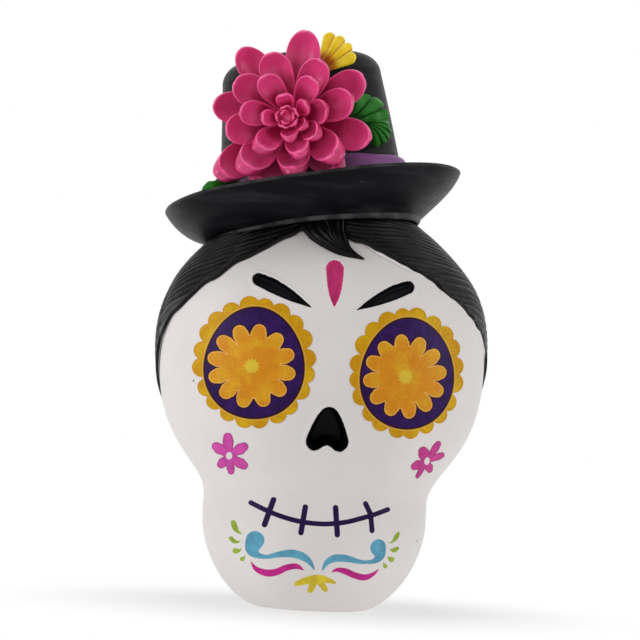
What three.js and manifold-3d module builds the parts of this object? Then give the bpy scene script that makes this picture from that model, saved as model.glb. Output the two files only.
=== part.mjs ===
// Sugar skull with a top hat and a dahlia, in millimetres, +Z up, face towards -Y.
import * as THREE from "three";
import Module from "manifold-3d";

const wasm = await Module();
wasm.setup();

const deg = THREE.MathUtils.degToRad;
const lerp = THREE.MathUtils.lerp;

// Fits
const clearance = 0.3;
const seatClearance = 0.6;

// Skull
const skullHeight = 141;
const cheekHeight = 84;
const waistHeight = 38;
const jawHeight = 30;
const waistHandle = 11;
const cheekHandle = 30;
const baseRadius = 17.5;
const chinPower = 1.7;
const jawHalfWidth = 38.7;
const jawFront = 39;
const jawBack = 36;
const cheekHalfWidth = 56.2;
const cheekFront = 50;
const cheekBack = 50;
const sectionPower = 2.12;
const skullFacets = 40;
const onDome = (share) => cheekHeight + share * (skullHeight - cheekHeight);
const onCheek = (share) => share * cheekHeight;

// Recesses in the face
const browDepth = 1.6;
const browRadius = 2.6;
const browOuter = new THREE.Vector2(25.4, onDome(0.502));
const browTip = new THREE.Vector2(7.7, onDome(0.351));
const noseDepth = 5;
const noseHalfWidth = 7.2;
const noseTop = onCheek(0.843);
const noseNotch = onCheek(0.6965);
const noseBottom = onCheek(0.663);
const dropDepth = 0.8;
const dropRadius = 3.05;
const dropTop = onDome(0.6386);
const dropTip = onDome(0.358);

// Hair
const hairThickness = 3.1;
const hairCrown = 1.8;
const hairEdge = 1.2;
const hairRise = 0.25;
const strandDepth = 0.18;
const combedShare = 0.6;
const partingAzimuth = -7;
const partingHeight = onDome(0.784);
const templeAzimuth = 86;
const templeHeight = onDome(0.105);
const napeHeight = onCheek(0.738);
const forelockTip = new THREE.Vector2(9.9, onDome(0.656));
const forelockThickness = 2.4;

// Hat
const hatOffset = new THREE.Vector2(-5.9, 4);
const hatSeat = 7.5;
const hatTiltBack = 7;
const hatLean = 8;
const crownFootRadius = 33;
const brimFillet = 2.5;
const brimFootRadius = crownFootRadius + brimFillet;
const brimWidth = 15.9;
const brimRadius = brimFootRadius + brimWidth;
const brimRise = 0.82 * brimWidth;
const brimThickness = 3;
const brimFootThickness = 6.4;
const brimCock = 1.8;
const brimPower = 2.3;
const brimBulge = 5;
const crownTopRadius = 27;
const crownHeight = 47.5;
const crownEdge = 7;
const bandThickness = 1.6;
const bandTop = 9;

// Dahlia
const dahliaAzimuth = -12;
const dahliaRadius = 27.8;
const dahliaHeight = brimFootThickness - brimRise + 1.012 * dahliaRadius;
const dahliaPitch = 5;
const coreRadius = 6.2;
const coreHeight = 13;
const coreTip = 2.2;
const pegRadius = 3;
const pegLength = 8;
const petalThickness = 1.3;
const budRadius = 3.4;
const budHeight = 7;

// Each row: petals, first angle, reach and half width as shares of the flower's radius, root as a
// share of the core's height, slope at the root and at the tip, cup as a share of the half width.
const petalRows = [
  { name: "outer", count: 8, first: 75, reach: 1, half: 0.252, root: 0.123, from: 0, to: 42, cup: 0.37 },
  { name: "second", count: 8, first: 101, reach: 0.784, half: 0.227, root: 0.415, from: 10, to: 54, cup: 0.38 },
  { name: "third", count: 7, first: 112, reach: 0.547, half: 0.18, root: 0.66, from: 22, to: 64, cup: 0.4 },
  { name: "inner", count: 5, first: 110, reach: 0.31, half: 0.122, root: 0.86, from: 40, to: 76, cup: 0.35 },
];

// Marigold and leaves
const marigoldAzimuth = 9;
const marigoldHeight = 0.821 * crownHeight;
const marigoldRadius = 6.4;
const marigoldDepth = 3.8;
const marigoldLength = 13;
const marigoldPitch = 6;
const marigoldLean = 38;
const marigoldSeat = 0.55;
const leafThickness = 1.4;
const leafLength = 19;

// Each leaf: place on the crown as an azimuth and a share of its height, heading, and length,
// half width and lift of the tip as shares of the longest leaf.
const leaves = [
  { name: "leaf_upper", azimuth: 22, height: 0.493, heading: 12, length: 1, half: 0.295, lift: 0.16 },
  { name: "leaf_side", azimuth: 26, height: 0.307, heading: -10, length: 0.79, half: 0.21, lift: 0.105 },
];
const lowerLeaf = { azimuth: -44, length: 0.9, half: 0.265, lift: 0.042 };

// Decals
const filmThickness = 0.3;
const eyeCentre = new THREE.Vector2(25.6, onCheek(1.002));
const eyeHalfWidth = 21.6;
const eyeHalfHeight = 23;
const eyeScallops = 20;
const scallopDepth = 1.5;
const cheekCentre = new THREE.Vector2(33.7, onCheek(0.633));
const cheekFlowerRadius = 7.2;
const cheekPetals = 6;
const mouthCentre = 0.773 * jawHeight;
const mouthHalfWidth = 31.5;
const mouthHalfHeight = 18;
const chinNarrowing = 0.35;

const paint = (color, roughness) => new THREE.MeshStandardMaterial({ color, roughness });
const bonePaint = paint(0xdcd8d2, 0.45);
const blackPaint = paint(0x2a282c, 0.4);
const bandPaint = paint(0x80507a, 0.5);
const petalPaint = paint(0xb8355c, 0.45);
const marigoldPaint = paint(0xc29a14, 0.45);
const leafPaint = paint(0x356428, 0.5);
const eyePrint = paint(0xc49a3c, 0.4);
const cheekPrint = paint(0xb35891, 0.4);
const mouthPrint = paint(0x6f5a78, 0.4);

function geometryOf(points, faces) {
  const geometry = new THREE.BufferGeometry();
  geometry.setAttribute("position", new THREE.Float32BufferAttribute(points.flatMap((p) => p.toArray()), 3));
  geometry.setIndex(faces.flat());
  geometry.computeVertexNormals();
  return geometry;
}

// Closed skin over rings of equal length, each end closed by a fan to its own middle.
function loft(rings, firstMiddle, lastMiddle) {
  const around = rings[0].length;
  const points = [...rings.flat(), firstMiddle, lastMiddle];
  const first = points.length - 2;
  const last = points.length - 1;
  const faces = [];
  for (let j = 0; j < around; j++) {
    const k = (j + 1) % around;
    faces.push([first, k, j]);
    for (let i = 0; i + 1 < rings.length; i++) {
      const a = i * around + j;
      const b = i * around + k;
      faces.push([a, b, b + around]);
      faces.push([a, b + around, a + around]);
    }
    const top = (rings.length - 1) * around;
    faces.push([last, top + j, top + k]);
  }
  return geometryOf(points, faces);
}

// Closed sheet between a top and a bottom grid of the same shape.
function sheet(top, bottom) {
  const rows = top.length;
  const columns = top[0].length;
  const points = [...top.flat(), ...bottom.flat()];
  const under = rows * columns;
  const faces = [];
  const quad = (a, b, c, d) => faces.push([a, b, c], [a, c, d]);
  for (let i = 0; i + 1 < rows; i++) {
    for (let j = 0; j + 1 < columns; j++) {
      const a = i * columns + j;
      quad(a, a + columns, a + columns + 1, a + 1);
      quad(a + under, a + 1 + under, a + columns + 1 + under, a + columns + under);
    }
    const left = i * columns;
    const right = left + columns - 1;
    quad(left, left + under, left + columns + under, left + columns);
    quad(right, right + columns, right + columns + under, right + under);
  }
  for (let j = 0; j + 1 < columns; j++) {
    const far = (rows - 1) * columns + j;
    quad(j, j + 1, j + 1 + under, j + under);
    quad(far, far + under, far + 1 + under, far + 1);
  }
  return geometryOf(points, faces);
}

function solidOf(geometry) {
  const flat = geometry.index ? geometry : geometry.clone();
  const position = flat.getAttribute("position");
  const seen = new Map();
  const vertices = [];
  const slot = [];
  for (let i = 0; i < position.count; i++) {
    const xyz = [position.getX(i), position.getY(i), position.getZ(i)];
    const key = xyz.map((v) => Math.round(v * 2000)).join(",");
    if (!seen.has(key)) {
      seen.set(key, vertices.length / 3);
      vertices.push(...xyz);
    }
    slot.push(seen.get(key));
  }
  const index = flat.index ? Array.from(flat.index.array) : slot.map((_, i) => i);
  const triangles = [];
  for (let i = 0; i < index.length; i += 3) {
    const [a, b, c] = [slot[index[i]], slot[index[i + 1]], slot[index[i + 2]]];
    if (a !== b && b !== c && a !== c) triangles.push(a, b, c);
  }
  return new wasm.Manifold(new wasm.Mesh({
    numProp: 3,
    vertProperties: new Float32Array(vertices),
    triVerts: new Uint32Array(triangles),
  }));
}

function geometryOfSolid(solid) {
  const mesh = solid.getMesh();
  const geometry = new THREE.BufferGeometry();
  const xyz = [];
  for (let i = 0; i < mesh.numVert; i++) {
    const at = i * mesh.numProp;
    xyz.push(mesh.vertProperties[at], mesh.vertProperties[at + 1], mesh.vertProperties[at + 2]);
  }
  geometry.setAttribute("position", new THREE.Float32BufferAttribute(xyz, 3));
  geometry.setIndex(Array.from(mesh.triVerts));
  geometry.computeVertexNormals();
  return geometry;
}

function piece(name, geometry, material, parent) {
  const mesh = new THREE.Mesh(geometry, material);
  mesh.name = name;
  parent.add(mesh);
  return mesh;
}

// Skull surface: superellipse sections whose half sizes follow a chin round, a straight jaw,
// a swelling cheek and a domed top.
function cheekBlend(z) {
  let low = 0;
  let high = 1;
  for (let i = 0; i < 40; i++) {
    const t = (low + high) / 2;
    const s = 1 - t;
    const height = s ** 3 * waistHeight + 3 * s * s * t * (waistHeight + waistHandle)
      + 3 * s * t * t * (cheekHeight - cheekHandle) + t ** 3 * cheekHeight;
    if (height < z) low = t;
    else high = t;
  }
  return low * low * (3 - 2 * low);
}

function profile(z, base, jaw, cheek) {
  if (z <= jawHeight) {
    const round = 1 - Math.abs(1 - z / jawHeight) ** chinPower;
    return base + (jaw - base) * Math.max(0, round) ** (1 / chinPower);
  }
  if (z <= waistHeight) return jaw;
  if (z <= cheekHeight) return lerp(jaw, cheek, cheekBlend(z));
  return cheek * Math.sqrt(Math.max(0, 1 - ((z - cheekHeight) / (skullHeight - cheekHeight)) ** 2));
}

const halfWidth = (z) => profile(z, baseRadius, jawHalfWidth, cheekHalfWidth);
const frontDepth = (z) => profile(z, baseRadius, jawFront, cheekFront);
const backDepth = (z) => profile(z, baseRadius, jawBack, cheekBack);
const power = (v, p) => Math.sign(v) * Math.abs(v) ** p;

function skullNormal(p) {
  const step = 0.01;
  const depth = p.y < 0 ? frontDepth : backDepth;
  const z = THREE.MathUtils.clamp(p.z, step, skullHeight - 2 * step);
  const w = halfWidth(z);
  const d = depth(z);
  const slope = (f) => (f(z + step) - f(z - step)) / (2 * step);
  const across = Math.abs(p.x / w) ** sectionPower;
  const along = Math.abs(p.y / d) ** sectionPower;
  return new THREE.Vector3(
    power(p.x / w, sectionPower - 1) / w,
    power(p.y / d, sectionPower - 1) / d,
    -(across * slope(halfWidth) / w + along * slope(depth) / d),
  ).normalize();
}

// Point of the skull at an azimuth from the front and a height, moved out along the normal.
function skullPoint(azimuth, z, out) {
  const s = power(Math.sin(azimuth), 2 / sectionPower);
  const c = power(Math.cos(azimuth), 2 / sectionPower);
  const depth = c > 0 ? frontDepth(z) : backDepth(z);
  const p = new THREE.Vector3(halfWidth(z) * s, -depth * c, z);
  return p.addScaledVector(skullNormal(p), out);
}

// Point of the face under a place in the front view, moved out along the normal.
function facePoint(x, z, out) {
  const across = Math.min(1, Math.abs(x) / halfWidth(z));
  const p = new THREE.Vector3(x, -frontDepth(z) * (1 - across ** sectionPower) ** (1 / sectionPower), z);
  return p.addScaledVector(skullNormal(p), out);
}

const skullHeights = [
  ...[0, 18, 36, 54, 72, 90].map((a) => jawHeight * (1 - Math.cos(deg(a)))),
  ...[0, 1, 2, 3, 4, 5, 6, 7, 8].map((i) => lerp(waistHeight, cheekHeight, i / 8)),
  ...[10, 20, 30, 40, 50, 60, 70, 80].map((a) => lerp(cheekHeight, skullHeight, Math.sin(deg(a)))),
];

function skullLayer(outAt) {
  const rings = skullHeights.map((z) => Array.from({ length: skullFacets }, (_, j) =>
    skullPoint((j / skullFacets) * 2 * Math.PI, z, outAt(z))));
  const top = skullHeight + outAt(skullHeight);
  return loft(rings, new THREE.Vector3(0, 0, rings[0][0].z), new THREE.Vector3(0, 0, top));
}

const skullBlob = (out) => skullLayer(() => out);

// Prism along Y through the face under an outline drawn in the front view.
function facePrism(outline) {
  const depth = cheekFront * 1.5;
  return new THREE.ExtrudeGeometry(outline, { depth, bevelEnabled: false, curveSegments: 8 }).rotateX(Math.PI / 2);
}

function recess(outline, depth) {
  return solidOf(facePrism(outline)).subtract(solidOf(skullBlob(-depth)));
}

// Drop outline from a pointed tip to a round end.
function dropOutline(tip, centre, radius) {
  const axis = new THREE.Vector2().subVectors(tip, centre);
  const open = Math.acos(radius / axis.length());
  const heading = Math.atan2(axis.y, axis.x);
  const outline = new THREE.Shape();
  outline.moveTo(tip.x, tip.y);
  outline.absarc(centre.x, centre.y, radius, heading + open, heading - open + 2 * Math.PI, false);
  outline.lineTo(tip.x, tip.y);
  return outline;
}

function noseOutline() {
  const lobe = noseHalfWidth / 2;
  const shoulder = (noseTop + noseNotch) / 2 - 0.14 * noseHalfWidth;
  const side = noseNotch + 0.083 * noseHalfWidth;
  const foot = noseBottom - 0.14 * noseHalfWidth;
  const outline = new THREE.Shape();
  outline.moveTo(0, noseTop);
  outline.bezierCurveTo(-lobe * 0.6, noseTop, -noseHalfWidth, shoulder, -noseHalfWidth, side);
  outline.bezierCurveTo(-noseHalfWidth, noseBottom, -lobe, foot, 0, noseNotch);
  outline.bezierCurveTo(lobe, foot, noseHalfWidth, noseBottom, noseHalfWidth, side);
  outline.bezierCurveTo(noseHalfWidth, shoulder, lobe * 0.6, noseTop, 0, noseTop);
  return outline;
}

function skullGeometry() {
  let solid = solidOf(skullBlob(0));
  for (const side of [-1, 1]) {
    const mirrored = (v) => new THREE.Vector2(side * v.x, v.y);
    solid = solid.subtract(recess(dropOutline(mirrored(browTip), mirrored(browOuter), browRadius), browDepth));
  }
  const drop = dropOutline(new THREE.Vector2(0, dropTip), new THREE.Vector2(0, dropTop - dropRadius), dropRadius);
  solid = solid.subtract(recess(drop, dropDepth));
  return geometryOfSolid(solid.subtract(recess(noseOutline(), noseDepth)));
}

// Hair: a cap from the hairline to the top of the head, with strands that fan from the parting.
function hairline(azimuth) {
  const side = Math.abs(azimuth - partingAzimuth);
  const temple = templeAzimuth - partingAzimuth * Math.sign(azimuth - partingAzimuth);
  if (side > temple) {
    const back = Math.min(1, (side - temple) / 34);
    return lerp(templeHeight, napeHeight, Math.sin(back * Math.PI / 2));
  }
  const flat = 12;
  const t = Math.max(0, side - flat) / (temple - flat);
  return lerp(partingHeight, templeHeight, 0.7 * t + 0.3 * t * t);
}

// Height from a length measured up the side of the head.
function heightAlong(length) {
  const dome = skullHeight - cheekHeight;
  return length < 0 ? cheekHeight + length : cheekHeight + dome * Math.sin(length / dome);
}

function lengthAt(z) {
  const dome = skullHeight - cheekHeight;
  return z < cheekHeight ? z - cheekHeight : dome * Math.asin((z - cheekHeight) / dome);
}

const hairAzimuths = [
  ...Array.from({ length: 36 }, (_, i) => -108 + i * 6),
  ...Array.from({ length: 12 }, (_, i) => 108 + i * 12),
];

// The hair thins towards the top of the head, under the hat.
const hairDepth = (z) => lerp(hairThickness, hairCrown, THREE.MathUtils.smoothstep(z, onDome(0.45), onDome(0.75)));

function hairRing(share, outAt) {
  const topLength = (skullHeight - cheekHeight) * deg(86);
  return hairAzimuths.map((azimuth) => {
    const around = azimuth > 180 ? azimuth - 360 : azimuth;
    const z = heightAlong(lerp(lengthAt(hairline(around)), topLength, share));
    return skullPoint(deg(azimuth), z, outAt(z));
  });
}

function hairGeometry() {
  const strands = 9;
  const layer = (share, depth) => hairRing(share, (z) =>
    clearance + depth * lerp(hairEdge, hairDepth(z), THREE.MathUtils.smoothstep(share, 0, hairRise)));
  const rings = [1, 0.5, 0].map((share) => hairRing(share, () => -hairThickness));
  rings.push(layer(0, 0.5));
  for (let i = 1; i <= 2 * strands; i++) {
    rings.push(layer(combedShare * i / (2 * strands), i % 2 ? 1 : 1 - strandDepth));
  }
  for (const share of [0.75, 0.9, 1]) rings.push(layer(share, 1));
  const top = (out) => new THREE.Vector3(0, 0, skullHeight + out);
  const cap = solidOf(loft(rings, top(-hairThickness), top(clearance + hairCrown)));
  return geometryOfSolid(cap.subtract(solidOf(skullBlob(clearance))));
}

// Forelock: from the hairline at the parting, sweeping to a point on the brow.
function forelockGeometry() {
  const rows = 8;
  const columns = 6;
  const foot = (azimuth) => {
    const z = hairline(azimuth) - 2 * clearance;
    return new THREE.Vector2(skullPoint(deg(azimuth), z, 0).x, z);
  };
  const left = foot(partingAzimuth - 12);
  const right = foot(partingAzimuth + 14);
  const edge = (from, sag) => new THREE.QuadraticBezierCurve(
    from, new THREE.Vector2(lerp(from.x, forelockTip.x, 0.45), forelockTip.y + sag), forelockTip);
  const lower = edge(left, -0.5 * forelockThickness);
  const upper = edge(right, 1.75 * forelockThickness);
  const top = [];
  const bottom = [];
  for (let i = 0; i <= rows; i++) {
    const t = 0.97 * i / rows;
    const a = lower.getPoint(t);
    const b = upper.getPoint(t);
    const azimuth = (j) => lerp(partingAzimuth - 12, partingAzimuth + 14, j / columns);
    const at = (j) => (i === 0 ? foot(azimuth(j)) : new THREE.Vector2().lerpVectors(a, b, j / columns));
    const rise = (j) => {
      const across = j / columns * 2 - 1;
      const strand = j % 2 ? 0.15 : 0;
      const full = Math.max(0.25, (1 - 0.45 * across * across) * (1 - 0.4 * t));
      return clearance + forelockThickness * (full - strand);
    };
    const row = Array.from({ length: columns + 1 }, (_, j) => [at(j), rise(j)]);
    top.push(row.map(([p, out]) => facePoint(p.x, p.y, out)));
    bottom.push(row.map(([p]) => facePoint(p.x, p.y, clearance)));
  }
  return sheet(top, bottom);
}

// Hat, in a frame whose origin is the middle of the brim's edge and whose axis is the crown's.
// It sits where the foot of the brim meets the lower side of the head.
const headUnderBrim = (cheekHeight + (skullHeight - cheekHeight)
  * Math.sqrt(Math.max(0, 1 - ((brimFootRadius - hatOffset.x) / cheekHalfWidth) ** 2)));
const hatHeight = headUnderBrim + hatSeat + brimRise;
const crownFoot = -brimRise + brimFootThickness;
const crownRadius = (z) => lerp(crownFootRadius, crownTopRadius, (z - crownFoot) / (crownHeight - crownFoot));

function brimCurve(foot, edge) {
  return new THREE.QuadraticBezierCurve(
    new THREE.Vector2(brimFootRadius, -brimRise + foot),
    new THREE.Vector2(lerp(brimFootRadius, brimRadius, 0.76), -brimRise * 0.62 + lerp(foot, edge, 0.5)),
    new THREE.Vector2(brimRadius - 0.4 * edge, 0.3 * edge),
  );
}

const brimUnder = brimCurve(0, 0);
const brimOver = brimCurve(brimFootThickness, brimThickness);

// The brim is squarer than a circle and cocked up on one side, more so towards its edge.
function brimShaped(p) {
  const r = Math.hypot(p.x, p.y);
  const share = (r - brimFootRadius) / (brimRadius - brimFootRadius);
  if (share <= 0) return p;
  const square = (Math.abs(p.x / r) ** brimPower + Math.abs(p.y / r) ** brimPower) ** (-1 / brimPower);
  const wide = lerp(1, square, share);
  const raised = brimCock * share + brimBulge * share * (1 - share);
  return p.set(p.x * wide, p.y * wide, p.z + raised * p.x / r);
}

function shapeBrim(geometry) {
  const position = geometry.getAttribute("position");
  for (let i = 0; i < position.count; i++) {
    const p = brimShaped(new THREE.Vector3().fromBufferAttribute(position, i));
    position.setXYZ(i, p.x, p.y, p.z);
  }
  return geometry;
}

// Crown wall, rounded edge and top, moved out by a distance.
function crownOutline(out) {
  const shoulder = crownHeight - crownEdge;
  const edge = [0, 22.5, 45, 67.5, 90].map((a) => new THREE.Vector2(
    crownRadius(shoulder) - crownEdge + (crownEdge + out) * Math.cos(deg(a)),
    shoulder + (crownEdge + out) * Math.sin(deg(a)),
  ));
  return [
    new THREE.Vector2(crownFootRadius + out, crownFoot), new THREE.Vector2(crownRadius(bandTop) + out, bandTop),
    ...edge, new THREE.Vector2(0, crownHeight + out),
  ];
}

function hatGeometry(hat) {
  const under = brimUnder.getPoints(6);
  const over = brimOver.getPoints(5).reverse();
  const outline = [new THREE.Vector2(0, -brimRise), ...under, ...over, ...crownOutline(0)];
  let solid = solidOf(shapeBrim(new THREE.LatheGeometry(outline, 36).rotateX(Math.PI / 2)));
  const seat = skullLayer((z) => clearance + hairDepth(z) + seatClearance);
  solid = solid.subtract(solidOf(seat.applyMatrix4(hat.matrixWorld.clone().invert())));
  const socket = new THREE.CylinderGeometry(pegRadius + clearance, pegRadius + clearance, 2 * pegLength + 2 * clearance, 16);
  socket.rotateX(Math.PI / 2).applyMatrix4(dahliaFrame());
  return geometryOfSolid(solid.subtract(solidOf(socket)));
}

function bandGeometry() {
  const inner = (z) => new THREE.Vector2(crownRadius(z) + clearance, z);
  const outer = (z, flare) => new THREE.Vector2(crownRadius(z) + clearance + bandThickness + flare, z);
  const foot = crownFoot + 1.4 * bandThickness;
  const edge = 0.4 * bandThickness;
  const outline = [
    inner(foot), outer(foot, 0), outer(lerp(foot, bandTop, 0.2), edge / 2), outer(lerp(foot, bandTop, 0.6), 0),
    outer(bandTop - edge, 0), outer(bandTop, -edge), inner(bandTop), inner(foot),
  ];
  return new THREE.LatheGeometry(outline, 36).rotateX(Math.PI / 2);
}

// Dahlia, in a frame on the crown whose axis points out of the flower.
function outwardFrame(azimuth, height, pitch, out) {
  const a = deg(azimuth);
  const p = deg(pitch);
  const right = new THREE.Vector3(Math.cos(a), Math.sin(a), 0);
  const axis = new THREE.Vector3(Math.sin(a) * Math.cos(p), -Math.cos(a) * Math.cos(p), Math.sin(p));
  const up = new THREE.Vector3().crossVectors(axis, right);
  const r = crownRadius(height) + out;
  return new THREE.Matrix4().makeBasis(right, up, axis)
    .setPosition(r * Math.sin(a), -r * Math.cos(a), height);
}

const dahliaFrame = () => outwardFrame(dahliaAzimuth, dahliaHeight, dahliaPitch, coreRadius * 0.25);

function coreGeometry() {
  const outline = [
    new THREE.Vector2(0, -pegLength), new THREE.Vector2(pegRadius, -pegLength), new THREE.Vector2(pegRadius, 0),
    new THREE.Vector2(coreRadius, 0), new THREE.Vector2(coreRadius, coreFoot),
    new THREE.Vector2(coreTip, coreHeight), new THREE.Vector2(0, coreHeight),
  ];
  return new THREE.LatheGeometry(outline, 20).rotateX(Math.PI / 2);
}

const coreFoot = coreHeight / 13;
const coreRadiusAt = (h) => lerp(coreRadius, coreTip, Math.max(0, (h - coreFoot) / (coreHeight - coreFoot)));

function petalGeometry(row) {
  const columns = 4;
  const from = deg(row.from);
  const to = deg(row.to);
  const root = row.root * coreHeight;
  const fullHalf = row.half * dahliaRadius;
  const rootRadius = coreRadiusAt(root) + clearance + petalThickness * Math.sin(from);
  const length = (row.reach * dahliaRadius - rootRadius) * (to - from) / (Math.sin(to) - Math.sin(from));
  const widest = 0.62;
  const tip = [30, 60, 82].map((a) => lerp(widest, 1, Math.sin(deg(a))));
  const top = [];
  const bottom = [];
  for (const s of [0, widest / 3, widest * 2 / 3, widest, ...tip]) {
    const slope = lerp(from, to, s);
    const r = rootRadius + length * (Math.sin(slope) - Math.sin(from)) / (to - from);
    const h = root + length * (Math.cos(from) - Math.cos(slope)) / (to - from);
    const spread = s < widest
      ? lerp(0.3, 1, Math.sin(Math.PI / 2 * s / widest))
      : Math.sqrt(1 - ((s - widest) / (1 - widest)) ** 2);
    const cup = row.cup * fullHalf * Math.min(1, 2.5 * s) * spread;
    const edge = r - (cup + petalThickness / 2) * Math.sin(slope);
    const half = Math.min(fullHalf * spread, edge * Math.tan(Math.PI / row.count) - clearance);
    const at = (t, out) => {
      const lift = cup * t * t + out;
      return new THREE.Vector3(r - lift * Math.sin(slope), half * t, h + lift * Math.cos(slope));
    };
    const across = Array.from({ length: columns + 1 }, (_, j) => 2 * j / columns - 1);
    top.push(across.map((t) => at(t, petalThickness / 2)));
    bottom.push(across.map((t) => at(t, -petalThickness / 2)));
  }
  return sheet(top, bottom);
}

function budGeometry() {
  const foot = coreHeight + clearance;
  const outline = [new THREE.Vector2(0, foot), new THREE.Vector2(coreTip, foot)];
  for (const a of [0, 30, 60]) {
    outline.push(new THREE.Vector2(budRadius * Math.cos(deg(a)),
      foot + budHeight * (0.45 + 0.55 * Math.sin(deg(a)))));
  }
  outline.push(new THREE.Vector2(0, foot + budHeight));
  return new THREE.LatheGeometry(outline, 14).rotateX(Math.PI / 2);
}

// Marigold: a ribbed cup whose back is cut to sit on the crown.
function marigoldGeometry() {
  const around = 28;
  const lobes = 7;
  const stations = [
    [0, 0.3], [0.18, 0.42], [0.45, 0.86], [0.72, 1], [0.92, 0.86], [1, 0.5],
  ];
  const rings = stations.map(([share, size]) => Array.from({ length: around }, (_, j) => {
    const a = j / around * 2 * Math.PI;
    const rib = 1 - 0.16 * size * Math.abs(Math.sin(lobes * a / 2)) ** 0.7;
    const r = marigoldRadius * size * rib;
    return new THREE.Vector3(r * Math.cos(a), r * Math.sin(a) * marigoldDepth / marigoldRadius, marigoldLength * share);
  }));
  const cup = loft(rings, new THREE.Vector3(0, 0, 0), new THREE.Vector3(0, 0, marigoldLength * 0.9));
  const turn = new THREE.Euler(-deg(90 - marigoldPitch), deg(marigoldLean), 0);
  cup.applyMatrix4(new THREE.Matrix4().makeRotationFromEuler(turn));
  cup.applyMatrix4(outwardFrame(marigoldAzimuth, marigoldHeight, 0, marigoldDepth * marigoldSeat));
  const crown = [new THREE.Vector2(0, crownFoot), ...crownOutline(clearance)];
  const back = new THREE.LatheGeometry(crown, 36).rotateX(Math.PI / 2);
  return geometryOfSolid(solidOf(cup).subtract(solidOf(back)));
}

// Leaf blade over a surface given as place(along, across, lift).
function leafGeometry(leaf, place) {
  const length = leaf.length * leafLength;
  const half = leaf.half * leafLength;
  const lift = leaf.lift * leafLength;
  const rows = 10;
  const columns = 6;
  const top = [];
  const bottom = [];
  for (let i = 0; i <= rows; i++) {
    const s = i / rows;
    const spread = Math.max(0.12, Math.sin(Math.PI * (0.1 + 0.86 * s)) ** 0.8);
    const notch = i % 2 ? 1 : 0.9;
    const row = (out) => Array.from({ length: columns + 1 }, (_, j) => {
      const t = 2 * j / columns - 1;
      const crease = leafThickness * Math.abs(t) * (0.8 * spread + 0.2 * (i % 2));
      return place(length * s, half * spread * notch * t, out + lift * s * s + crease);
    });
    top.push(row(leafThickness));
    bottom.push(row(0));
  }
  return sheet(top, bottom);
}

function crownPlace(leaf) {
  const heading = deg(leaf.heading);
  return (along, across, lift) => {
    const side = along * Math.cos(heading) - across * Math.sin(heading);
    const z = leaf.height * crownHeight + along * Math.sin(heading) + across * Math.cos(heading);
    const r = crownRadius(z) + 2 * clearance + lift;
    const a = deg(leaf.azimuth) + side / crownRadius(z);
    return new THREE.Vector3(r * Math.sin(a), -r * Math.cos(a), z);
  };
}

function brimPlace(leaf) {
  return (along, across, lift) => {
    const foot = brimFootRadius + 5 * clearance;
    const r = foot + along;
    const a = deg(leaf.azimuth) + across / foot;
    const share = (r - brimFootRadius) / (brimRadius - brimFootRadius);
    const z = brimOver.getPoint(Math.min(1, Math.max(0, share))).y;
    const p = brimShaped(new THREE.Vector3(r * Math.sin(a), -r * Math.cos(a), z));
    return p.setZ(p.z + 4 * clearance + lift);
  };
}

// Decal: a film on the face inside an outline drawn in the front view as reach(angle).
function decalGeometry(centre, segments, reach) {
  const outline = new THREE.Shape(Array.from({ length: segments }, (_, j) => {
    const r = reach(j / segments * 2 * Math.PI);
    return new THREE.Vector2(centre.x + r.x, centre.y + r.y);
  }));
  const film = solidOf(skullBlob(clearance + filmThickness)).subtract(solidOf(skullBlob(clearance)));
  return geometryOfSolid(film.intersect(solidOf(facePrism(outline))));
}

const sugarSkull = new THREE.Group();
sugarSkull.name = "sugar_skull";
piece("skull", skullGeometry(), bonePaint, sugarSkull);
piece("hair_cap", hairGeometry(), blackPaint, sugarSkull);
piece("forelock", forelockGeometry(), blackPaint, sugarSkull);

const hat = new THREE.Group();
hat.position.set(hatOffset.x, hatOffset.y, hatHeight);
hat.rotation.set(-deg(hatTiltBack), -deg(hatLean), 0);
sugarSkull.add(hat);
sugarSkull.updateMatrixWorld(true);
piece("hat", hatGeometry(hat), blackPaint, hat);
piece("hat_band", bandGeometry(), bandPaint, hat);

const dahlia = new THREE.Group();
dahlia.applyMatrix4(dahliaFrame());
hat.add(dahlia);
piece("dahlia_core", coreGeometry(), petalPaint, dahlia);
for (const row of petalRows) {
  const geometry = petalGeometry(row);
  for (let i = 0; i < row.count; i++) {
    const petal = piece(`petal_${row.name}_${i + 1}`, geometry, petalPaint, dahlia);
    petal.rotation.z = deg(row.first - i * 360 / row.count);
  }
}
piece("dahlia_bud", budGeometry(), petalPaint, dahlia);

piece("marigold", marigoldGeometry(), marigoldPaint, hat);
for (const leaf of leaves) {
  piece(leaf.name, leafGeometry(leaf, crownPlace(leaf)), leafPaint, hat);
}
piece("leaf_lower", leafGeometry(lowerLeaf, brimPlace(lowerLeaf)), leafPaint, hat);

for (const [side, name] of [[-1, "left"], [1, "right"]]) {
  const eye = new THREE.Vector2(side * eyeCentre.x, eyeCentre.y);
  const scallop = (a) => 1 - scallopDepth / eyeHalfWidth * (1 - Math.abs(Math.sin(eyeScallops * a / 2)));
  piece(`eye_decal_${name}`, decalGeometry(eye, 3 * eyeScallops, (a) => ({
    x: eyeHalfWidth * scallop(a) * Math.cos(a) * (1 - 0.06 * Math.sin(a)),
    y: eyeHalfHeight * scallop(a) * Math.sin(a),
  })), eyePrint, sugarSkull);
  const cheek = new THREE.Vector2(side * cheekCentre.x, cheekCentre.y);
  const flower = (a) => cheekFlowerRadius * (0.78 + 0.22 * Math.abs(Math.sin(cheekPetals * a / 2)));
  piece(`cheek_decal_${name}`, decalGeometry(cheek, 4 * cheekPetals, (a) => ({
    x: flower(a) * 0.88 * Math.cos(a),
    y: flower(a) * Math.sin(a),
  })), cheekPrint, sugarSkull);
}
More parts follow.
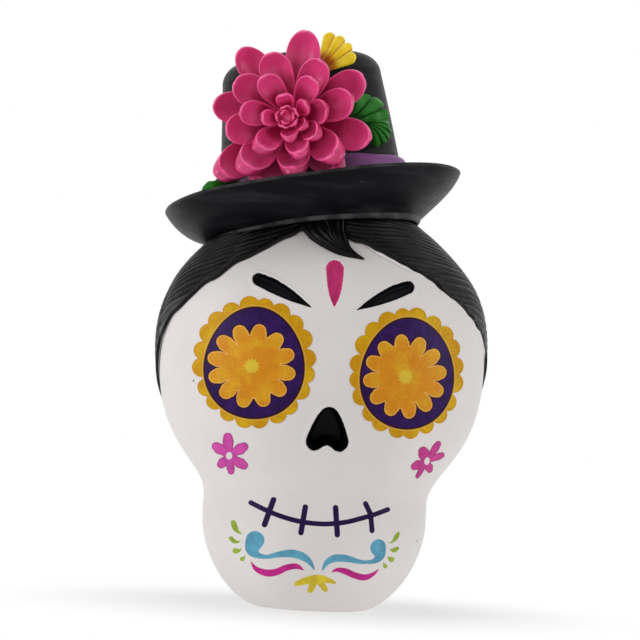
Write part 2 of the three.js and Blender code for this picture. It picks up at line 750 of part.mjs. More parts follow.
piece("mouth_decal", decalGeometry(new THREE.Vector2(0, mouthCentre), 40, (a) => ({
  x: mouthHalfWidth * power(Math.cos(a), 0.7) * (1 - chinNarrowing * Math.max(0, -Math.sin(a))),
  y: mouthHalfHeight * power(Math.sin(a), 0.7),
})), mouthPrint, sugarSkull);

export default sugarSkull;
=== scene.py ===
import math

import bpy
import numpy as np
from bpy.props import FloatProperty, FloatVectorProperty, PointerProperty
from mathutils import Euler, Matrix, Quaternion


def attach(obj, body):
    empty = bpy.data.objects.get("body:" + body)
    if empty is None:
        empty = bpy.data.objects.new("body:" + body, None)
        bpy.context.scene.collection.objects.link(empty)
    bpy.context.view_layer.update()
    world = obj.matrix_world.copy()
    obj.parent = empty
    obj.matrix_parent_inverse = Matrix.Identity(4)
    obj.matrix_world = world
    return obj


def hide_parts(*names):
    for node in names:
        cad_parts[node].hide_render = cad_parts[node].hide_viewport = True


bl_info = {
    "name": "Sugar skull with a top hat",
    "version": (1, 0, 0),
    "blender": (4, 5, 0),
    "location": "View3D > Sidebar > Sugar skull",
    "description": "Makes a painted sugar skull with a hat, a dahlia, hair and printed ornament",
    "category": "Add Mesh",
}

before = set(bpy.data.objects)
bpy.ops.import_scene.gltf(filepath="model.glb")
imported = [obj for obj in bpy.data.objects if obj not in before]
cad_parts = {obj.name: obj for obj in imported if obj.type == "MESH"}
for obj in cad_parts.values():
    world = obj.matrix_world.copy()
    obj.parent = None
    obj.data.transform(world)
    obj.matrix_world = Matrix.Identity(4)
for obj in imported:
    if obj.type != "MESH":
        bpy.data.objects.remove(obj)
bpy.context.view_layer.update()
BODY = "root"
MM = 0.001

# Skull, in millimetres
SKULL_TOP = 141.0
CHEEK = 84.0
WAIST = 38.0
JAW = 30.0
WAIST_HANDLE = 11.0
CHEEK_HANDLE = 30.0
BASE_RADIUS = 17.5
CHIN_POWER = 1.7
JAW_HALF, JAW_FRONT, JAW_BACK = 38.7, 39.0, 36.0
CHEEK_HALF, CHEEK_FRONT, CHEEK_BACK = 56.2, 50.0, 50.0
SECTION = 2.12
DOME = SKULL_TOP - CHEEK
CAST_WAVE, CAST_WAVE_SIZE = 0.12, 34.0

# Carving in the face
BROW_OUTER = (25.4, 112.6)
BROW_TIP = (7.7, 104.0)
NOSE_HALF = 7.2
NOSE_TOP, NOSE_BOTTOM = 70.8, 55.7
DROP_TOP, DROP_TIP, DROP_RADIUS = 120.4, 104.4, 3.05
BROW_LIP, NOSE_LIP, DROP_LIP = 0.2, 0.3, 0.14
UNCARVED = 30.0

# Pinholes of the casting, as a place in the front view and a radius. The holes are not cut: each is painted
# as a dark dot, a painted shade.
PINHOLES = ((-45.4, 77.1, 0.34), (34.6, 25.8, 0.3), (-19.4, 69.7, 0.22))

# Hair
HAIR_FIT, HAIR_LINING = 0.3, 0.05
HAIR_EDGE, HAIR_RISE = 1.2, 0.25
HAIR_SUNK = 0.09
HAIR_CROWN = 1.8
PARTING, PARTING_HEIGHT = -7.0, 128.7
HAIRLINE_FLAT = 12.0
TEMPLE, TEMPLE_HEIGHT = 86.0, 90.0
NAPE_HEIGHT = 62.0
HAIR_TOP = DOME * math.radians(86)
LOCK_LOWER = ((-11.6, 130.6), (-7.6, 126.3), (0.6, 122.3), (10.0, 121.0))
LOCK_UPPER = ((4.4, 133.2), (4.2, 129.0), (5.6, 124.6), (10.0, 121.0))

# Hat, in a frame whose origin is the middle of the brim's edge
HAT_PLACE = np.array([-5.9, 4.0, 143.085])
HAT_BACK, HAT_LEAN = -7.0, -8.0
CROWN_FOOT_RADIUS, CROWN_TOP_RADIUS = 33.0, 27.0
CROWN_HEIGHT, CROWN_EDGE = 47.5, 7.0
BRIM_FOOT = 35.5
BRIM_WIDTH = 15.9
BRIM_EDGE = BRIM_FOOT + BRIM_WIDTH
BRIM_RISE = 0.82 * BRIM_WIDTH
BRIM_THICK, BRIM_FOOT_THICK = 3.0, 6.4
ROLL_RADIUS = 1.2
BRIM_COCK, BRIM_POWER, BRIM_BULGE = 1.8, 2.3, 5.0
CROWN_FOOT = BRIM_FOOT_THICK - BRIM_RISE
BAND_TOP = 9.0
SEAT_GAP = 2.6
HAT_COLUMNS = 320

# Dahlia
DAHLIA_AZIMUTH, DAHLIA_PITCH = -12.0, 5.0
DAHLIA_HEIGHT = CROWN_FOOT + 28.13
CORE_RADIUS, CORE_TIP, CORE_HEIGHT = 6.2, 2.2, 13.0
PEG_RADIUS, PEG_LENGTH = 3.0, 8.0
BUD_HEIGHT = 14.2
PETAL_WIDEST = 0.62
FLOWER_TURN = 5.0
FLOWER_DROOP, FLOWER_RAISED = 0.2, 1.0
RIM_ROUND = 0.7

# Height of the printed films' underside over the face
FILM_FOOT = 0.02

# Depth of the paint's fine skin, in metres
SKIN, FILM_SKIN = 0.0004, 0.0002

# Stage, in metres: name, place, size, setting and share of each light
LIGHTS = (
    ("top_light", (-0.12, -0.16, 1.15), 0.7, "top", 1.0),
    ("left_light", (-0.95, -0.3, 0.3), 0.6, "sides", 1.2),
    ("right_light", (0.95, -0.3, 0.3), 0.6, "sides", 0.88),
    ("front_fill", (0.05, -1.5, 0.06), 0.7, "fill", 1.0),
)
LIGHT_AIM = (0.0, 0.0, 0.09)
FLOOR_HALF = 30.0
FADE_START, FADE_END, FADE_LEVEL = 0.03, 0.12, 0.55

# Camera: angles in degrees, the picture's width and shift in pixels, and a pixel's size in millimetres
CAMERA_AIM = (0.0, 0.0, 0.1)
CAMERA_AZIMUTH, CAMERA_ROLL = -4.0, 3.0
SENSOR = 36.0
PICTURE, PICTURE_SHIFT = 640, -4.0
PIXEL = 0.3472


def srgb(red, green, blue):
    """Linear colour of a paint given in 0 to 255."""
    def one(v):
        v /= 255.0
        return v / 12.92 if v <= 0.04045 else ((v + 0.055) / 1.055) ** 2.4
    return (one(red), one(green), one(blue))


def colour(name, description, default):
    """Setting of a paint."""
    return FloatVectorProperty(name=name, description=description, default=default,
                               subtype="COLOR", size=3, min=0.0, max=1.0)


def length(name, description, default):
    """Setting of a length, in metres."""
    return FloatProperty(name=name, description=description, default=default,
                         unit="LENGTH", subtype="DISTANCE", min=0.0)


def share(name, description, default):
    """Setting of a share of 0 to 1."""
    return FloatProperty(name=name, description=description, default=default,
                         subtype="FACTOR", min=0.0, max=1.0)


def watts(name, description, default):
    """Setting of a light's power."""
    return FloatProperty(name=name, description=description, default=default, unit="POWER")


class SkullSettings(bpy.types.PropertyGroup):
    bone: colour("Bone", "White paint of the skull", srgb(224, 219, 217))
    carving: colour("Carving", "Black paint in the brows and the nose", srgb(5, 5, 9))
    drop: colour("Drop", "Paint of the drop on the forehead", srgb(208, 56, 120))
    brow_depth: length("Brow depth", "Depth of the carved brows", 0.0017)
    nose_depth: length("Nose depth", "Depth of the carved nose", 0.005)
    drop_depth: length("Drop depth", "Depth of the forehead drop", 0.0008)


class HairSettings(bpy.types.PropertyGroup):
    black: colour("Black", "Paint of the hair", srgb(13, 12, 14))
    # Sheen: thin pale lines painted along the strands' crests, a painted highlight.
    sheen: colour("Sheen", "Rubbed crests of the strands", srgb(128, 126, 128))
    thickness: length("Thickness", "Thickness of the hair below the hat", 0.0031)
    strand_pitch: length("Strand pitch", "Usual width of a lock of hair", 0.0023)
    strand_depth: length("Strand depth", "Depth of the combed grooves", 0.00085)


class HatSettings(bpy.types.PropertyGroup):
    black: colour("Black", "Paint of the hat", srgb(14, 13, 17))
    band: colour("Band", "Paint of the hat band", srgb(146, 86, 152))
    # Band in shade: a painted shadow under the dahlia and the lower leaf.
    band_shade: colour("Band in shade", "Paint of the band under the dahlia", srgb(70, 30, 62))
    # Sheen: lighter streaks painted into the black, a painted reflection.
    sheen: colour("Sheen", "Rubbed streaks of the black paint", srgb(43, 41, 44))
    # Wear: paler paint that is wear on the brim's edge and the crown's rim, and a painted highlight on the
    # rolled lip.
    wear: colour("Wear", "Rubbed edges of the hat", srgb(76, 74, 75))
    unevenness: length("Unevenness", "Hand-cast waviness of the hat", 0.00025)


class FlowerSettings(bpy.types.PropertyGroup):
    petal: colour("Petal", "Paint of the dahlia", srgb(240, 76, 144))
    # Petal rim: paler paint on the rims, partly wear and partly a painted highlight.
    petal_rim: colour("Petal rim", "Worn paint on the petals' rims", srgb(236, 112, 166))
    # Petal hollow: a painted shade deep between the petals, at their roots and under them.
    petal_hollow: colour("Petal hollow", "Paint deep between the petals", srgb(164, 18, 70))
    marigold: colour("Marigold", "Paint of the small yellow flower", srgb(246, 216, 18))
    marigold_foot: colour("Marigold foot", "Paint at the foot of the yellow flower", srgb(196, 112, 22))
    leaf: colour("Leaf", "Paint of the leaves", srgb(38, 110, 32))
    # Leaf hollow: a painted shade in the leaves' folds.
    leaf_hollow: colour("Leaf hollow", "Paint in the leaves' folds", srgb(26, 76, 26))
    petal_thickness: length("Petal thickness", "Thickness of a petal", 0.0013)


class PrintSettings(bpy.types.PropertyGroup):
    egg: colour("Egg", "Dark ground of the eyes", srgb(50, 22, 88))
    scallop: colour("Scallop", "Scalloped edge of the eyes", srgb(208, 164, 22))
    daisy: colour("Daisy", "Flower in the eyes", srgb(214, 156, 34))
    star: colour("Star", "Middle of the flower in the eyes", srgb(214, 184, 56))
    outline: colour("Outline", "Thin lines of the eyes", srgb(44, 12, 28))
    cheek_left: colour("Left cheek flower", "Flower on the left cheek", srgb(210, 78, 168))
    cheek_right: colour("Right cheek flower", "Flower on the right cheek", srgb(204, 66, 146))
    mouth: colour("Mouth", "Stitched mouth", srgb(40, 20, 68))
    blue: colour("Blue", "Upper scrolls of the chin", srgb(100, 168, 196))
    magenta: colour("Magenta", "Lower scrolls of the chin", srgb(198, 44, 140))
    yellow: colour("Yellow", "Half flower of the chin", srgb(222, 198, 58))
    green: colour("Green", "Drops beside the mouth", srgb(156, 182, 62))
    film: length("Film", "Thickness of the printed film", 0.00014)


class StageSettings(bpy.types.PropertyGroup):
    floor: colour("Floor", "Pale floor", srgb(236, 236, 236))
    sky: share("Sky", "Level of the light from all round", 0.41)
    bounce: share("Bounce", "Level of the light that the floor throws up", 0.55)
    top: watts("Top light", "Power of the light above", 2.8)
    sides: watts("Side lights", "Power of each side light", 3.0)
    fill: watts("Front fill", "Power of the front fill", 0.85)
    distance: length("Camera distance", "From the camera to the middle of the object", 1.5)


# Numbers and curves

def smooth(value, low, high):
    """Smooth step from 0 at low to 1 at high."""
    t = np.clip((np.asarray(value, float) - low) / (high - low), 0.0, 1.0)
    return t * t * (3.0 - 2.0 * t)


def mix(a, b, t):
    """Value that lies a share t of the way from a to b."""
    return a + (b - a) * t


def power(value, exponent):
    """Power that keeps the sign."""
    return np.sign(value) * np.abs(value) ** exponent


def wobble(points, size, seed):
    """Soft uneven field of about -1 to 1 over points in millimetres, with waves of about that size."""
    rng = np.random.default_rng(seed)
    total = 0.0
    for _ in range(6):
        turn = rng.normal(size=3)
        turn *= 2.0 * math.pi / size * rng.uniform(0.6, 1.4) / np.linalg.norm(turn)
        total = total + np.sin(points @ turn + rng.uniform(0, 2 * math.pi))
    return total / 3.0


def ladder(start, *stops):
    """Rising places from start, with a step of its own up to each (end, step)."""
    places = [start]
    for end, step in stops:
        count = max(1, round((end - places[-1]) / step))
        places.extend(np.linspace(places[-1], end, count + 1)[1:])
    return np.array(places)


def spline(points, count):
    """Smooth open curve through rows of numbers."""
    rows = np.asarray(points, float)
    ends = np.vstack([2 * rows[0] - rows[1], rows, 2 * rows[-1] - rows[-2]])
    out = []
    for i in range(len(rows) - 1):
        a, b, c, d = ends[i:i + 4]
        t = np.linspace(0, 1, count, endpoint=False)[:, None]
        out.append(0.5 * (2 * b + (c - a) * t + (2 * a - 5 * b + 4 * c - d) * t ** 2
                          + (3 * b - a - 3 * c + d) * t ** 3))
    return np.vstack(out + [rows[-1:]])


def bezier(points, t):
    """Points of a curve between two ends with one handle, at shares t of its run."""
    a, b, c = (np.asarray(p, float) for p in points)
    t = np.asarray(t, float)[..., None]
    return (1 - t) ** 2 * a + 2 * t * (1 - t) * b + t ** 2 * c


def stroke(x, z, path):
    """Signed distance to a stroke through rows of x, z and radius."""
    best = np.full(np.shape(x), 1e3)
    for (ax, az, ar), (bx, bz, br) in zip(path[:-1], path[1:]):
        dx, dz = bx - ax, bz - az
        t = np.clip(((x - ax) * dx + (z - az) * dz) / max(dx * dx + dz * dz, 1e-9), 0, 1)
        gap = np.hypot(x - ax - t * dx, z - az - t * dz) - mix(ar, br, t)
        best = np.minimum(best, gap)
    return best


def outline_distance(x, z, outline):
    """Signed distance to a closed outline, less than 0 inside."""
    best = np.full(np.shape(x), 1e3)
    inside = np.zeros(np.shape(x), bool)
    for (ax, az), (bx, bz) in zip(outline, np.roll(outline, -1, axis=0)):
        dx, dz = bx - ax, bz - az
        t = np.clip(((x - ax) * dx + (z - az) * dz) / max(dx * dx + dz * dz, 1e-9), 0, 1)
        best = np.minimum(best, np.hypot(x - ax - t * dx, z - az - t * dz))
        if abs(dz) > 1e-9:
            crosses = ((az > z) != (bz > z)) & (x < dx * (z - az) / dz + ax)
            inside ^= crosses
    return np.where(inside, -best, best)


def oval(x, z, half_x, half_z):
    """Signed distance to an ellipse, close to its edge."""
    k = np.hypot(x / half_x, z / half_z) + 1e-6
    slope = np.hypot(x / half_x ** 2, z / half_z ** 2) + 1e-6
    return k * (k - 1.0) / slope


def rounded(edge, radius):
    """Height of 0 to 1 of a round edge, by the distance in from it."""
    return np.sqrt(1 - (1 - np.clip(edge / radius, 0, 1)) ** 2)


def ridge(distance, at, width):
    """Soft ridge of height 1 at a distance."""
    return np.exp(-((distance - at) / width) ** 2)


# Skull surface: superellipse sections that follow a chin round, a jaw, a swelling cheek and a dome

BLEND_T = np.linspace(0, 1, 2001)
BLEND_Z = ((1 - BLEND_T) ** 3 * WAIST + 3 * (1 - BLEND_T) ** 2 * BLEND_T * (WAIST + WAIST_HANDLE)
           + 3 * (1 - BLEND_T) * BLEND_T ** 2 * (CHEEK - CHEEK_HANDLE) + BLEND_T ** 3 * CHEEK)


def profile(z, jaw, cheek):
    """Half size of the skull at a height, from its half sizes at the jaw and cheek."""
    z = np.asarray(z, float)
    chin = np.maximum(0, 1 - np.abs(1 - np.clip(z, 0, JAW) / JAW) ** CHIN_POWER) ** (1 / CHIN_POWER)
    t = np.interp(z, BLEND_Z, BLEND_T)
    dome = np.sqrt(np.maximum(0, 1 - ((np.maximum(z, CHEEK) - CHEEK) / DOME) ** 2))
    low = BASE_RADIUS + (jaw - BASE_RADIUS) * chin
    return np.where(z <= JAW, low, np.where(z <= CHEEK, mix(jaw, cheek, t * t * (3 - 2 * t)), cheek * dome))


def half_width(z):
    return profile(z, JAW_HALF, CHEEK_HALF)


def front_depth(z):
    return profile(z, JAW_FRONT, CHEEK_FRONT)


def back_depth(z):
    return profile(z, JAW_BACK, CHEEK_BACK)


def skull_normal(p):
    """Outward direction of the skull's surface at points on it."""
    step = 0.01
    z = np.clip(p[..., 2], step, SKULL_TOP - 2 * step)
    front = p[..., 1] < 0
    w = half_width(z)
    d = np.where(front, front_depth(z), back_depth(z))
    slope_w = (half_width(z + step) - half_width(z - step)) / (2 * step)
    slope_d = np.where(front, front_depth(z + step) - front_depth(z - step),
                       back_depth(z + step) - back_depth(z - step)) / (2 * step)
    across = np.abs(p[..., 0] / w) ** SECTION
    along = np.abs(p[..., 1] / d) ** SECTION
    n = np.stack([power(p[..., 0] / w, SECTION - 1) / w, power(p[..., 1] / d, SECTION - 1) / d,
                  -(across * slope_w / w + along * slope_d / d)], -1)
    return n / np.linalg.norm(n, axis=-1, keepdims=True)


def skull_point(azimuth, z, out):
    """Point at an azimuth in radians from the front and a height, moved out along the normal."""
    s = power(np.sin(azimuth), 2 / SECTION)
    c = power(np.cos(azimuth), 2 / SECTION)
    depth = np.where(c > 0, front_depth(z), back_depth(z))
    p = np.stack([half_width(z) * s, -depth * c, z + 0 * s], -1)
    return p + skull_normal(p) * np.asarray(out)[..., None]


def cast_wave(p):
    """How far hand casting moves the skull's surface in or out."""
    return CAST_WAVE * wobble(p, CAST_WAVE_SIZE, 11) * smooth(p[..., 2], 2.0, 10.0)


def face_point(x, z, out):
    """Point of the face under a place in the front view, moved out along the normal."""
    across = np.minimum(1, np.abs(x) / half_width(z)) ** SECTION
    p = np.stack([x, -front_depth(z) * (1 - across) ** (1 / SECTION), z], -1)
    return p + skull_normal(p) * (np.asarray(out) + cast_wave(p))[..., None]


def hat_turn():
    """Turn of the hat, which leans to one side and tips back."""
    a, b = math.radians(HAT_BACK), math.radians(HAT_LEAN)
    rx = np.array([[1, 0, 0], [0, math.cos(a), -math.sin(a)], [0, math.sin(a), math.cos(a)]])
    ry = np.array([[math.cos(b), 0, math.sin(b)], [0, 1, 0], [-math.sin(b), 0, math.cos(b)]])
    return rx @ ry


HAT_TURN = hat_turn()


def on_hat(p):
    """Moves points from the hat's frame to the skull's."""
    return p @ HAT_TURN.T + HAT_PLACE


def crown_radius(z):
    """Radius of the crown's wall at a height."""
    return mix(CROWN_FOOT_RADIUS, CROWN_TOP_RADIUS, (z - CROWN_FOOT) / (CROWN_HEIGHT - CROWN_FOOT))


def brim_curve(foot, edge):
    """Ends and handle of a face of the brim, raised by a thickness at foot and edge."""
    return ((BRIM_FOOT, -BRIM_RISE + foot),
            (mix(BRIM_FOOT, BRIM_EDGE, 0.76), -BRIM_RISE * 0.62 + mix(foot, edge, 0.5)),
            (BRIM_EDGE - 0.4 * edge, 0.3 * edge))


def brim_shaped(p):
    """The brim is squarer than a circle and cocked up on one side, more so towards its edge."""
    r = np.maximum(np.hypot(p[..., 0], p[..., 1]), 1e-6)
    s = np.maximum(0, (r - BRIM_FOOT) / BRIM_WIDTH)
    x, y = p[..., 0] / r, p[..., 1] / r
    square = (np.abs(x) ** BRIM_POWER + np.abs(y) ** BRIM_POWER) ** (-1 / BRIM_POWER)
    wide = mix(1.0, square, s)
    raised = BRIM_COCK * s + BRIM_BULGE * s * (1 - s)
    return np.stack([p[..., 0] * wide, p[..., 1] * wide, p[..., 2] + raised * x], -1)


def outward_frame(azimuth, height, pitch, out):
    """Right, up and outward axes, and place, of a thing that sits on the crown."""
    a, b = math.radians(azimuth), math.radians(pitch)
    right = np.array([math.cos(a), math.sin(a), 0])
    axis = np.array([math.sin(a) * math.cos(b), -math.cos(a) * math.cos(b), math.sin(b)])
    r = crown_radius(height) + out
    place = np.array([r * math.sin(a), -r * math.cos(a), height])
    return np.stack([right, np.cross(axis, right), axis]), place


# Meshes

def grid_faces(index, closed=False):
    """Quads over a grid of point numbers, closed round its columns if asked."""
    if closed:
        index = np.hstack([index, index[:, :1]])
    a, b, c, d = index[:-1, :-1], index[:-1, 1:], index[1:, 1:], index[1:, :-1]
    return np.stack([a, b, c, d], -1).reshape(-1, 4)


def tidy_faces(faces):
    """Faces as lists, with repeated corners dropped."""
    out = []
    for face in faces.tolist():
        ring = [v for i, v in enumerate(face) if v != face[i - 1]]
        if len(set(ring)) >= 3:
            out.append(ring)
    return out


def closed_sheet(top, bottom):
    """Points and quads of a sheet whose two sides share the rim of the top side."""
    rows, cols = top.shape[:2]
    upper = np.arange(rows * cols).reshape(rows, cols)
    lower = upper.copy()
    lower[1:-1, 1:-1] = rows * cols + np.arange((rows - 2) * (cols - 2)).reshape(rows - 2, cols - 2)
    points = np.vstack([top.reshape(-1, top.shape[2]), bottom[1:-1, 1:-1].reshape(-1, top.shape[2])])
    return points, np.vstack([grid_faces(upper), grid_faces(lower)[:, ::-1]])


def pin_rim(edge):
    """Sets the distance from the rim to 0 along a blade's tip and its two sides."""
    edge[-1] = 0
    edge[:, [0, -1]] = 0


def lathe(rings, first, last):
    """Points and faces of a skin over rings, with each end closed by a middle point."""
    rows, cols = rings.shape[:2]
    index = np.arange(rows * cols).reshape(rows, cols)
    points = [rings.reshape(-1, rings.shape[2])]
    faces = grid_faces(index, closed=True).tolist()
    for middle, ring, flip in ((first, index[0], True), (last, index[-1], False)):
        at = sum(len(p) for p in points)
        points.append(np.asarray(middle, float)[None])
        for a, b in zip(ring.tolist(), np.roll(ring, -1).tolist()):
            faces.append([at, b, a] if flip else [at, a, b])
    return np.vstack(points), faces


def make_piece(name, points, faces, material, nodes, marks=None, crisp=False):
    """A smooth mesh from points in millimetres, with marks as point values for its material."""
    faces = faces if isinstance(faces, list) else tidy_faces(faces)
    mesh = bpy.data.meshes.new(name)
    mesh.from_pydata((np.asarray(points)[:, :3] * MM).tolist(), [], faces)
    mesh.validate()
    for mark, values in (marks or {}).items():
        layer = mesh.attributes.new(mark, "FLOAT", "POINT")
        layer.data.foreach_set("value", np.asarray(values, np.float32).ravel())
    mesh.shade_smooth()
    if crisp:
        mesh.set_sharp_from_angle(angle=math.radians(40))
    mesh.materials.append(material)
    made = bpy.data.objects.new(name, mesh)
    bpy.context.scene.collection.objects.link(made)
    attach(made, BODY)
    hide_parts(*nodes)
    return made


# Node helpers

def put(tree, kind, inputs=None, **settings):
    """Adds a node, then sets its settings and fills its inputs with values or links."""
    made = tree.nodes.new(kind)
    for key, value in settings.items():
        setattr(made, key, value)
    for key, value in (inputs or {}).items():
        socket = made.inputs[key]
        if isinstance(value, bpy.types.NodeSocket):
            tree.links.new(value, socket)
        elif socket.type == "RGBA":
            socket.default_value = (*tuple(value)[:3], 1.0)
        else:
            socket.default_value = value
    return made


def sums(tree, operation, a, b=0.0):
    """Result of a sum of values or links."""
    return put(tree, "ShaderNodeMath", {0: a, 1: b}, operation=operation).outputs[0]


def blend(tree, factor, a, b, how="MIX"):
    """Colour blended from two."""
    return put(tree, "ShaderNodeMix", {0: factor, 6: a, 7: b}, data_type="RGBA", blend_type=how).outputs[2]


def ramp(tree, value, low, high, start=0.0, end=1.0):
    """Smooth step of a value from low to high."""
    inputs = {"Value": value, "From Min": low, "From Max": high, "To Min": start, "To Max": end}
    return put(tree, "ShaderNodeMapRange", inputs, interpolation_type="SMOOTHSTEP").outputs[0]


def noise(tree, scale, detail=2.0, vector=None):
    """Soft uneven field over the piece's own space."""
    vector = vector or put(tree, "ShaderNodeTexCoord").outputs["Object"]
    return put(tree, "ShaderNodeTexNoise", {"Vector": vector, "Scale": scale, "Detail": detail}).outputs[0]


def mark(tree, name):
    """Value that the piece's points carry under a name."""
    return put(tree, "ShaderNodeAttribute", attribute_name=name).outputs["Fac"]


def new_group(name, inputs, outputs):
    """Empty node group with named inputs (kind, default) and outputs, and its two end nodes."""
    tree = bpy.data.node_groups.new(name, "ShaderNodeTree")
    for label, kind, default in inputs:
        socket = tree.interface.new_socket(label, in_out="INPUT", socket_type=kind)
        socket.default_value = default
    for label, kind in outputs:
        tree.interface.new_socket(label, in_out="OUTPUT", socket_type=kind)
    return tree, put(tree, "NodeGroupInput").outputs, put(tree, "NodeGroupOutput")


GREY = (0.5, 0.5, 0.5, 1.0)
FLOAT, COLOUR = "NodeSocketFloat", "NodeSocketColor"


def shared(build):
    """Lets a node group be built once, under the name of the function that builds it."""
    def group():
        if build.__name__ not in bpy.data.node_groups:
            build()
        return bpy.data.node_groups[build.__name__]
    return group


@shared
def hand_paint():
    """Brushed paint: uneven tone, uneven gloss and a fine skin."""
    tree, given, end = new_group(
        "hand_paint",
        [("Colour", COLOUR, GREY), ("Mottle", FLOAT, 0.05), ("Size", FLOAT, 60.0),
         ("Roughness", FLOAT, 0.4), ("Spread", FLOAT, 0.1)],
        [("Colour", COLOUR), ("Roughness", FLOAT), ("Height", FLOAT)])
    broad = noise(tree, given["Size"], 3.0)
    fine = noise(tree, sums(tree, "MULTIPLY", given["Size"], 9.0), 2.0)
    dark = sums(tree, "SUBTRACT", 1.0, given["Mottle"])
    pale = sums(tree, "ADD", 1.0, given["Mottle"])
    tone = ramp(tree, broad, 0.3, 0.7, dark, pale)
    gloss = sums(tree, "MULTIPLY", sums(tree, "SUBTRACT", fine, 0.5), given["Spread"])
    tree.links.new(blend(tree, 1.0, given["Colour"], tone, "MULTIPLY"), end.inputs["Colour"])
    tree.links.new(sums(tree, "ADD", given["Roughness"], gloss), end.inputs["Roughness"])
    tree.links.new(fine, end.inputs["Height"])


@shared
def ink_over():
    """Ink laid over a colour where a distance is less than 0."""
    tree, given, end = new_group(
        "ink_over",
        [("Under", COLOUR, GREY), ("Ink", COLOUR, GREY), ("Distance", FLOAT, 1.0),
         ("Softness", FLOAT, 0.08)],
        [("Colour", COLOUR), ("Mask", FLOAT)])
    soft = given["Softness"]
    mask = ramp(tree, given["Distance"], sums(tree, "MULTIPLY", soft, -1.0), soft, 1.0, 0.0)
    tree.links.new(blend(tree, mask, given["Under"], given["Ink"]), end.inputs["Colour"])
    tree.links.new(mask, end.inputs["Mask"])


@shared
def watercolour():
    """Printed wash that drifts between a pale and a deep colour, with a fine grain."""
    tree, given, end = new_group(
        "watercolour", [("Pale", COLOUR, GREY), ("Deep", COLOUR, GREY), ("Size", FLOAT, 150.0)],
        [("Colour", COLOUR)])
    wash = ramp(tree, noise(tree, given["Size"], 5.0), 0.36, 0.64)
    grain = ramp(tree, noise(tree, sums(tree, "MULTIPLY", given["Size"], 11.0), 2.0), 0.3, 0.7, 0.9, 1.08)
    washed = blend(tree, wash, given["Pale"], given["Deep"])
    tree.links.new(blend(tree, 1.0, washed, grain, "MULTIPLY"), end.inputs["Colour"])


@shared
def carved_paint():
    """Painted light and shade: paint made paler on ridges as a painted highlight and darker in hollows as a
    painted shade, by a shading of -1 to 1.
    """
    tree, given, end = new_group(
        "carved_paint",
        [("Colour", COLOUR, GREY), ("Ridge", COLOUR, GREY), ("Hollow", COLOUR, GREY),
         ("Relief", FLOAT, 0.0)],
        [("Colour", COLOUR)])
    uneven = ramp(tree, noise(tree, 320.0, 3.0), 0.3, 0.7, -0.1, 0.1)
    relief = sums(tree, "ADD", given["Relief"], uneven)
    low = blend(tree, ramp(tree, relief, -0.05, -1.0), given["Colour"], given["Hollow"])
    tree.links.new(blend(tree, ramp(tree, relief, 0.25, 1.0), low, given["Ridge"]), end.inputs["Colour"])


def use(tree, group, **inputs):
    """Outputs of a node group with its inputs filled."""
    return put(tree, "ShaderNodeGroup", inputs, node_tree=group).outputs


def new_material(name):
    """Empty finish: the material, its nodes and its shader."""
    made = bpy.data.materials.new(name)
    made.use_nodes = True
    tree = made.node_tree
    return made, tree, tree.nodes["Principled BSDF"]


def dress(tree, shader, base, roughness, height, strength, distance, specular,
          coat=0.0, coat_roughness=0.2):
    """Joins a finish to the shader: colour, gloss and a fine skin as bump."""
    tree.links.new(base, shader.inputs["Base Color"])
    tree.links.new(roughness, shader.inputs["Roughness"])
    bump = put(tree, "ShaderNodeBump", {"Height": height, "Strength": strength, "Distance": distance})
    tree.links.new(bump.outputs[0], shader.inputs["Normal"])
    shader.inputs["Specular IOR Level"].default_value = specular
    shader.inputs["Coat Weight"].default_value = coat
    shader.inputs["Coat Roughness"].default_value = coat_roughness


def bone(tree, settings):
    """White paint of the skull, which also borders the hair and lies under the prints."""
    return use(tree, hand_paint(), Colour=settings.bone, Mottle=0.025, Size=38.0,
               Roughness=0.42, Spread=0.12)


def deeper(paint, level):
    """A paint times a level, or times a level for each of its colours."""
    return np.array(tuple(paint)) * level


# Pieces

